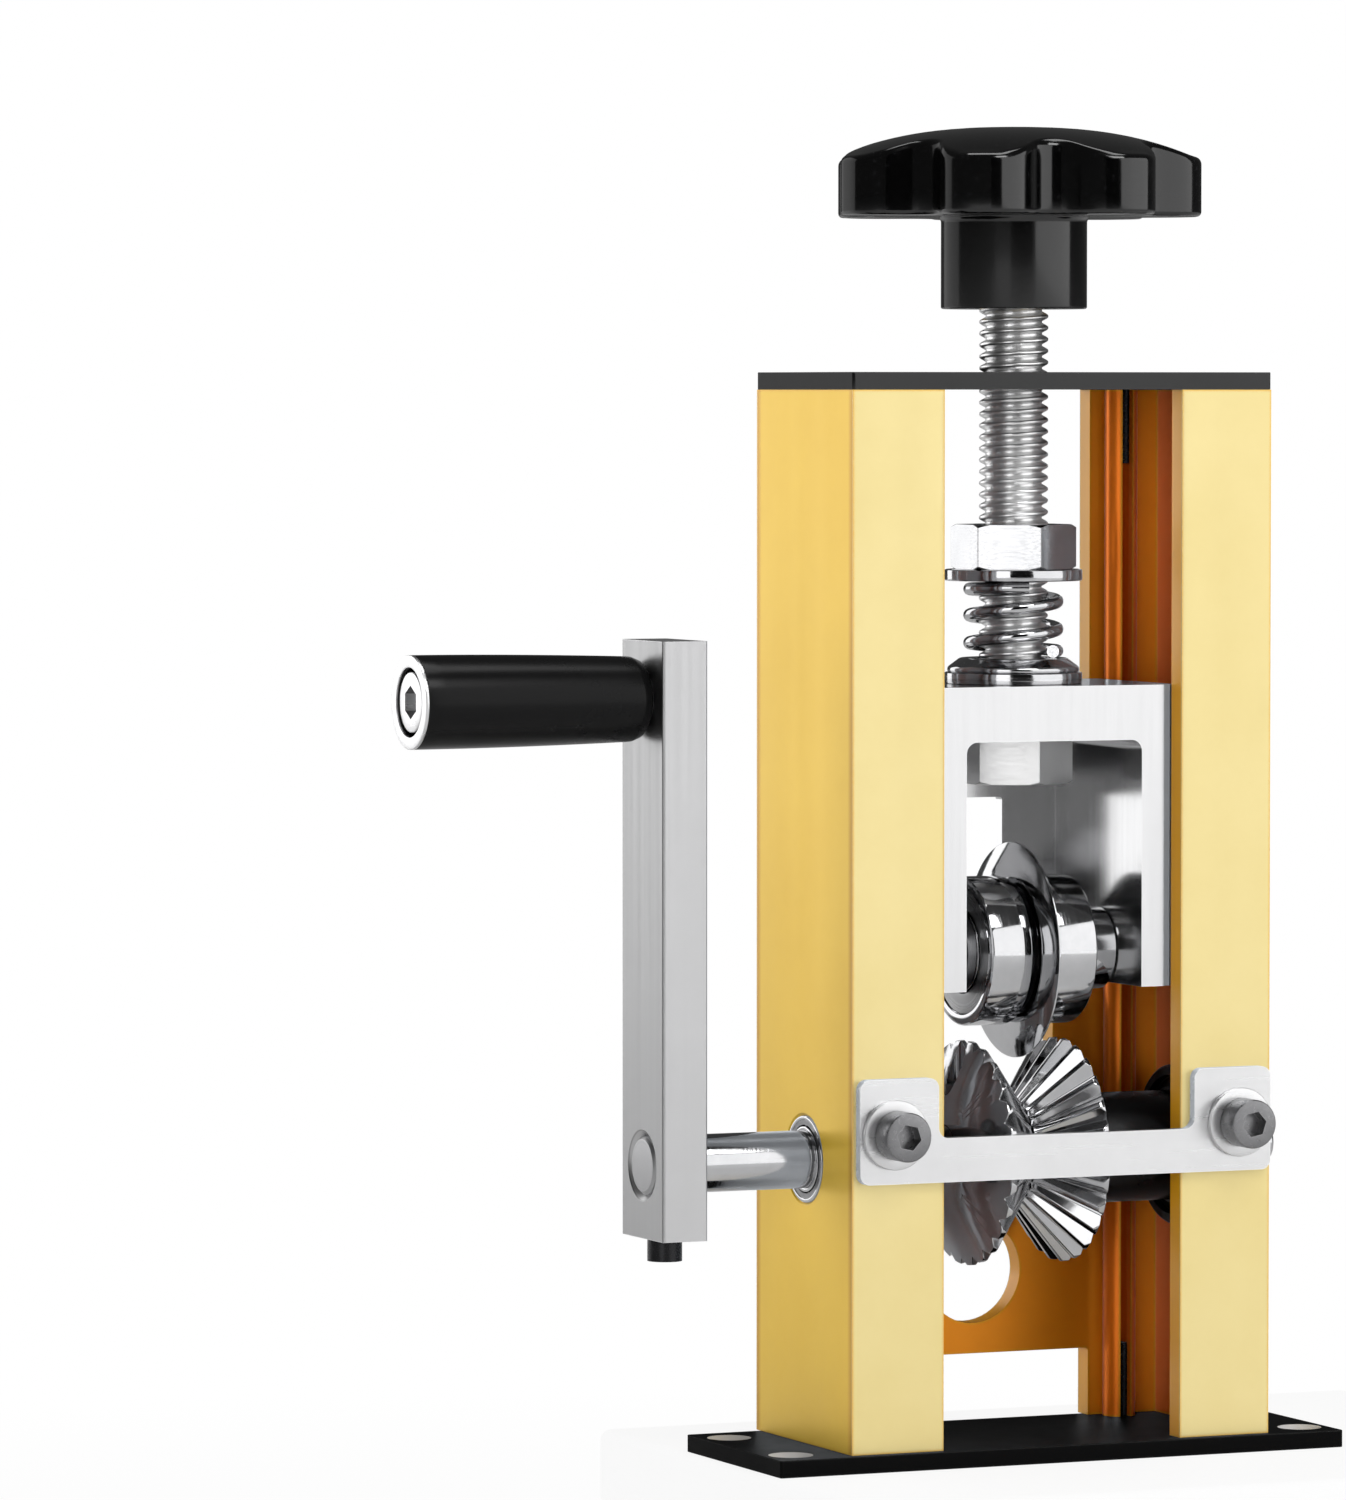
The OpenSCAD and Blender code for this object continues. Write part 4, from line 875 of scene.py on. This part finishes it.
def makeSpring():
    bpy.ops.curve.primitive_nurbs_path_add()
    piece = named("coilWire")
    piece.data.bevel_depth = spring["wire"] / 2 * mm
    piece.data.bevel_resolution = 5
    piece.data.use_fill_caps = True
    line = piece.data.splines[0]
    line.type = "POLY"
    points = springPath()
    line.points.add(len(points) - len(line.points))
    for place, point in zip(line.points, points):
        place.co = (*(point * mm), 1)
    makeActive(piece)
    bpy.ops.object.convert(target="MESH")
    piece = bpy.context.active_object
    weldPiece(piece)
    smoothByAngle(piece, degrees=40)
    dress(piece, "spring_carrier", "polished_steel", "screwSteel", "pressure_spring")
    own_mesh(piece)


makeSpring()
print("nut, washers and spring made")

# blade set on its axle: rollers, blade, rings and spacers
bladeSet = {"z": 87.4, "rollerStart": 2.2, "rollerWide": 8.0, "rollerRadius": 13.0, "outerLand": 10.84,
            "innerLand": 7.16, "axle": 5.0, "bladeRadius": 18.8, "bladeHalf": 1.2, "bevel": 4.0, "edge": 0.15,
            "spacerInner": 7.5, "spacerOuter": 7.2, "spacerStart": 1.3, "pocketHalf": 16.8, "raceClear": 0.01,
            "clear": 0.05}


def sideRing(name, side, x0, x1, outer, inner, rounding=0.3):
    low, high = (x0, x1) if side > 0 else (-x1, -x0)
    return turnedPiece(name, ringLoop(inner, outer, low, high), "X", (0, 0, bladeSet["z"]), rounding)


def makeBladeSet():
    b = bladeSet
    start, end = b["rollerStart"], b["rollerStart"] + b["rollerWide"]
    for side, label in ((-1, "left"), (1, "right")):
        ring = sideRing(label + "SupportRoller", side, start, end, b["rollerRadius"], b["outerLand"], 0.7)
        dress(ring, label + "_roller", "polished_steel", "axleSteel", label + "_roller")
    rings = [sideRing("raceInner", side, start, end, b["innerLand"], b["axle"] + b["raceClear"])
             for side in (-1, 1)]
    dress(joinPieces(rings, "innerRaces"), "yoke", "polished_steel", "axleSteel", "roller_inner_rings")
    bore = b["axle"] + b["clear"]
    thin = [sideRing("thinRing", side, b["spacerStart"], start, b["spacerInner"], bore, rounding=0.15)
            for side in (-1, 1)]
    dress(joinPieces(thin, "bladeSpacers"), "yoke", "guide_steel", "axleSteel", "inner_spacers")
    far = b["pocketHalf"] - b["clear"]
    thick = [sideRing("thickRing", side, end, far, b["spacerOuter"], bore, rounding=0.5)
             for side in (-1, 1)]
    dress(joinPieces(thick, "yokeSpacers"), "yoke", "guide_steel", "axleSteel", "outer_spacers")
    half, edge, rim, flat = b["bladeHalf"], b["edge"], b["bladeRadius"], b["bladeRadius"] - b["bevel"]
    bladeLoop = [(bore, -half), (flat, -half), (rim, -edge), (rim, edge), (flat, half), (bore, half)]
    blade = turnedPiece("cuttingDisc", bladeLoop, "X", (0, 0, b["z"]), rounding=0.08, steps=160)
    dress(blade, "blade", "polished_steel", "axleSteel", "blade_disc")


makeBladeSet()
print("blade set made")

# shaft, wall bearings and guide bar washers and screws
shaft = {"z": 52.2, "radius": 5.0, "left": -70.4, "end": 42.0, "stub": 4.0, "tip": 49.5, "edge": 0.5,
         "clipFrom": 40.25, "clipTo": 41.35, "clipDeep": 0.5}
# innerStep lies on the ring's flat end; innerFar is the ring's radius at its right end
wallBearing = {"left": -40.0, "right": 36.0, "wide": 4, "outer": 7.5, "outerLand": 6.83, "bore": 5.01,
               "innerStep": 5.35, "innerLand": 5.68}


def makeShaft():
    s, w = shaft, wallBearing
    at = (0, 0, s["z"])
    radius, floor, stub, edge = s["radius"], s["radius"] - s["clipDeep"], s["stub"], s["edge"]
    groove = [(radius, s["clipFrom"]), (floor, s["clipFrom"]), (floor, s["clipTo"]), (radius, s["clipTo"])]
    left = [(0, s["left"]), (radius - edge, s["left"]), (radius, s["left"] + edge)]
    right = [(radius, s["end"]), (stub, s["end"]), (stub, s["tip"] - edge), (stub - edge, s["tip"]),
             (0, s["tip"])]
    rod = turnedPiece("crankShaft", left + groove + right, "X", at, rounding=0.08)
    dress(rod, "crank", "polished_steel", "shaftSteel", "drive_shaft")
    for label in ("left", "right"):
        x0, x1 = w[label], w[label] + w["wide"]
        outerLoop = ringLoop(w["outerLand"], w["outer"], x0, x1)
        outer = turnedPiece(label + "WallRing", outerLoop, "X", at, rounding=0.2)
        dress(outer, "frame", "polished_steel", "shaftSteel", label + "_bearing_outer_ring")
        innerLoop = [(w["bore"], x0), (w["innerStep"], x0), (w["innerLand"], x0), (w["innerLand"], x1),
                     (w["bore"], x1)]
        inner = turnedPiece(label + "ShaftRing", innerLoop, "X", at, rounding=0.15)
        dress(inner, "crank", "polished_steel", "shaftSteel", label + "_bearing_inner_ring")


makeShaft()
guide = {"x": 33.0, "z": 57.9, "face": -21.8, "washer": 6.0, "washerBore": 2.6, "washerThick": 1.2,
         "head": 4.25, "headHigh": 5.0, "socket": 4.0, "socketDeep": 2.6, "socketTurn": 12, "shank": 2.5,
         "reach": 8.0}


def makeGuideScrews():
    g = guide
    washers, screws = [], []
    for side in (-1, 1):
        at = (side * g["x"], g["face"], g["z"])
        low, high, end = g["washerThick"], g["washerThick"] + g["headHigh"], g["washerThick"] - g["reach"]
        washerLoop = ringLoop(g["washerBore"], g["washer"], 0, low)
        washers.append(turnedPiece("washer", washerLoop, "-Y", at, steps=96))
        headLine = [(0, end), (g["shank"], end), (g["shank"], low), (g["head"], low), (g["head"], high),
                    (0, high)]
        head = turnedPiece("capHead", headLine, "-Y", at, rounding=0.45, steps=96)
        top = (at[0], at[1] - high, at[2])
        turn = g["socketTurn"] * side
        cutAway(head, hexPrism("socketTool", g["socket"], g["socketDeep"] * 2, "-Y", top, turn))
        smoothByAngle(head)
        screws.append(head)
    dress(joinPieces(washers, "guideWashers"), "frame", "polished_steel", "guideSteel", "guide_bar_washers")
    dress(joinPieces(screws, "guideCapScrews"), "frame", "dark_steel", "darkSteel", "guide_bar_screws")


makeGuideScrews()
print("shaft and guide screws made")

# grip: black sleeve on its bolt, with a bright ring at the outer end
grip = {"z": 132.2, "right": -70.7, "left": -112.7, "big": 8.0, "small": 7.3, "bolt": 4.0, "boltClear": 0.05,
        "swellSteps": 12, "swellPower": 0.9, "tuck": 2.2, "endFlat": 1.9, "endIn": 0.6, "endDeep": 0.7,
        "recess": 5.9, "recessDeep": 5.4, "proud": 0.6, "head": 5.2, "headHigh": 5.0, "headProud": 0.3,
        "socket": 5.0, "socketDeep": 3.0, "boltEnd": -70.4, "threadEnd": -62.0, "thread": 3.0}


def makeGrip():
    g = grip
    at = (0, 0, g["z"])
    left, right, bore = g["left"], g["right"], g["bolt"] + g["boltClear"]
    barrel = []
    # a slight swell along the sleeve
    for k in range(g["swellSteps"] + 1):
        t = k / g["swellSteps"]
        barrel.append((g["small"] + (g["big"] - g["small"]) * math.sin(t * quarter) ** g["swellPower"],
                       right - g["tuck"] + (left - right + g["tuck"]) * t))
    rightEnd = [(bore, right), (g["small"] - g["endFlat"], right),
                (g["small"] - g["endIn"], right - g["endDeep"])]
    floor = left + g["recessDeep"]
    leftEnd = [(g["recess"], left), (g["recess"], floor), (bore, floor)]
    sleeve = turnedPiece("handleSleeve", rightEnd + barrel + leftEnd, "X", at)
    dress(sleeve, "grip", "black_plastic", "satinBlack", "grip_sleeve")
    ringShape = ringLoop(g["recess"], g["big"], left, left - g["proud"])
    ring = turnedPiece("handleRing", ringShape, "X", at, rounding=0.15)
    dress(ring, "grip", "guide_steel", "guideSteel", "grip_end_ring")
    headLeft = left - g["headProud"]
    headRight = headLeft + g["headHigh"]
    boltLine = [(0, headLeft), (g["head"], headLeft), (g["head"], headRight), (g["bolt"], headRight),
                (g["bolt"], g["boltEnd"]), (g["thread"], g["boltEnd"]), (g["thread"], g["threadEnd"]),
                (0, g["threadEnd"])]
    bolt = turnedPiece("handleBolt", boltLine, "X", at, rounding=0.4, steps=96)
    cutAway(bolt, hexPrism("socketTool", g["socket"], g["socketDeep"] * 2, "X", (headLeft, 0, g["z"])))
    smoothByAngle(bolt)
    dress(bolt, "crank", "guide_steel", "guideSteel", "grip_bolt")


makeGrip()
print("grip made")

# the CAD nodes that stay as they are get their finish
kept = {
    "blackSteel": ("base_screws", "top_screws", "crank_set_screw"),
    "darkSteel": ("wall_bearing_shields", "housing_screws", "wheel_set_screws", "shaft_collar",
                  "collar_set_screw", "shaft_circlip", "axle_set_screws"),
    "shaftSteel": ("wall_bearing_balls",),
    "axleSteel": ("blade_axle", "roller_balls"),
    "shieldSteel": ("left_roller_shields", "right_roller_shields"),
    "brass": ("knob_insert",),
}
for finish, nodeNames in kept.items():
    for nodeName in nodeNames:
        paint(cadNodes[nodeName], finish)
print("kept nodes finished:", sum(len(nodeNames) for nodeNames in kept.values()))

# stage: pale floor, a pale bench block whose edge the crank swings past, soft lights and a dark card
stage = {"floor": -60.0, "block": ((-55.5, -60.0), (95.0, 55.0)), "floorColour": (0.90, 0.90, 0.90),
         "fadeStart": 0.12, "fadeEnd": 0.6, "worldSeen": 1.0, "worldFelt": 0.06, "glow": 0.88,
         "floorSize": 40, "marks": 6.0, "markColour": (0.88, 0.88, 0.885), "edge": 2.0}


def makeStage():
    bpy.ops.mesh.primitive_plane_add(size=stage["floorSize"], location=(0, 0, stage["floor"] * mm))
    floor = named("studioFloor")
    placeIntoMesh(floor)
    (x0, y0), (x1, y1) = stage["block"]
    middle = ((x0 + x1) / 2 * mm, (y0 + y1) / 2 * mm, stage["floor"] / 2 * mm)
    bpy.ops.mesh.primitive_cube_add(size=1, location=middle)
    block = named("benchBlock")
    block.scale = ((x1 - x0) * mm, (y1 - y0) * mm, -stage["floor"] * mm)
    placeIntoMesh(block)
    bevelEdges(block, stage["edge"], segments=4)
    smoothByAngle(block)
    f = Finish("palePaint")
    f.put(roughness=0.7)
    marks = f.group("handled", Size=stage["marks"])
    f.feed("Base Color", f.blendColours(marks.outputs["Marks"], stage["floorColour"], stage["markColour"]))
    # the floor fades into the white of the studio away from the object
    length = newNode(f.tree, "VectorMath")
    length.operation = "LENGTH"
    f.link(f.coords, length.inputs[0])
    far = f.spread(length.outputs["Value"], stage["glow"], 1.0, stage["fadeStart"], stage["fadeEnd"])
    glow = newNode(f.tree, "Emission")
    mix = newNode(f.tree, "MixShader")
    path = newNode(f.tree, "LightPath")
    f.link(f.calc("MULTIPLY", far, path.outputs["Is Camera Ray"]), mix.inputs[0])
    f.link(f.shader.outputs[0], mix.inputs[1])
    f.link(glow.outputs[0], mix.inputs[2])
    f.link(mix.outputs[0], f.tree.nodes["Material Output"].inputs["Surface"])
    for piece in (floor, block):
        piece.data.materials.append(f.material)


def makeWorld():
    world = bpy.data.worlds.new("softStudio")
    world.use_nodes = True
    tree = world.node_tree
    seen, felt = tree.nodes["Background"], newNode(tree, "Background")
    for shader, strength in ((seen, stage["worldSeen"]), (felt, stage["worldFelt"])):
        shader.inputs["Color"].default_value = (1, 1, 1, 1)
        shader.inputs["Strength"].default_value = strength
    path = newNode(tree, "LightPath")
    mix = newNode(tree, "MixShader")
    tree.links.new(path.outputs["Is Camera Ray"], mix.inputs[0])
    tree.links.new(felt.outputs[0], mix.inputs[1])
    tree.links.new(seen.outputs[0], mix.inputs[2])
    tree.links.new(mix.outputs[0], tree.nodes["World Output"].inputs["Surface"])
    bpy.context.scene.world = world


# place, size, power; the side and back softboxes stand where the front and left faces mirror them
lights = {
    "sideSoftbox": ((1.15, -1.35, 0.35), (2.3, 1.9), 22.0),
    "backSoftbox": ((-1.05, 1.60, 0.35), (1.7, 1.8), 4.0),
    "backMetalSoftbox": ((-1.04, 1.58, 0.35), (1.7, 1.8), 13.0),
    "frontMetalSoftbox": ((-1.35, -1.45, 0.45), (0.9, 1.6), 9.0),
    "keySoftbox": ((0.15, -1.25, 1.45), (0.9, 0.6), 12.0),
    "topSoftbox": ((0.1, 0.1, 1.5), (0.9, 0.7), 7.0),
}
# a dark card that only mirrors see, behind the camera
card = {"place": (-0.45, -1.85, 0.2), "wide": 1.2, "high": 1.8, "colour": (0.01, 0.01, 0.01, 1)}
# two softboxes light the metal alone: the black pieces keep their dark middle and dark left sides
blackPieces = ("starGrip", "handleSleeve", "topCover", "benchPlate", "bearingFlange")


def aimAt(thing, target=(0, 0, 0.12)):
    direction = Vector(target) - Vector(thing.location)
    thing.rotation_euler = direction.to_track_quat("-Z", "Y").to_euler()


def makeLights():
    for name, (place, size, power) in lights.items():
        bpy.ops.object.light_add(type="AREA", location=place)
        light = named(name)
        light.data.shape = "RECTANGLE"
        light.data.size, light.data.size_y = size
        light.data.energy = power
        light.visible_camera = False
        aimAt(light)
    receivers = bpy.data.collections.new("metalReceivers")
    for name in blackPieces:
        receivers.objects.link(bpy.data.objects[name])
    for member in receivers.collection_objects:
        member.light_linking.link_state = "EXCLUDE"
    for name in ("backMetalSoftbox", "frontMetalSoftbox"):
        bpy.data.objects[name].light_linking.receiver_collection = receivers


def makeCard():
    f = Finish("blackCard")
    f.put(roughness=0.9, specular=0.0)
    f.shader.inputs["Base Color"].default_value = card["colour"]
    bpy.ops.mesh.primitive_plane_add(size=1, location=card["place"])
    plane = named("darkCard")
    aimAt(plane)
    plane.scale = (card["wide"], card["high"], 1)
    placeIntoMesh(plane)
    plane.data.materials.append(f.material)
    plane.visible_camera = plane.visible_shadow = plane.visible_diffuse = False


makeStage()
makeWorld()
makeLights()
makeCard()

camera = {"target": (-64.65, 0.0, 123.35), "distance": 1440.7, "yaw": -23.533, "pitch": 2.450,
          "focal": 8415.0, "high": 1500, "sensor": 36.0, "nearest": 0.05, "farthest": 20.0}


def makeCamera():
    yaw, pitch = math.radians(camera["yaw"]), math.radians(camera["pitch"])
    back = Vector((math.sin(yaw) * math.cos(pitch), -math.cos(yaw) * math.cos(pitch), math.sin(pitch)))
    bpy.ops.object.camera_add()
    cam = named("photoCamera")
    cam.location = (Vector(camera["target"]) + back * camera["distance"]) * mm
    cam.rotation_mode = "QUATERNION"
    cam.rotation_quaternion = (-back).to_track_quat("-Z", "Y")
    cam.data.sensor_width = camera["sensor"]
    cam.data.lens = camera["focal"] * camera["sensor"] / camera["high"]
    cam.data.clip_start, cam.data.clip_end = camera["nearest"], camera["farthest"]
    bpy.context.scene.camera = cam


makeCamera()
bpy.context.scene.view_settings.view_transform = "Standard"
print("stage, lights and camera made")

bpy.context.view_layer.update()
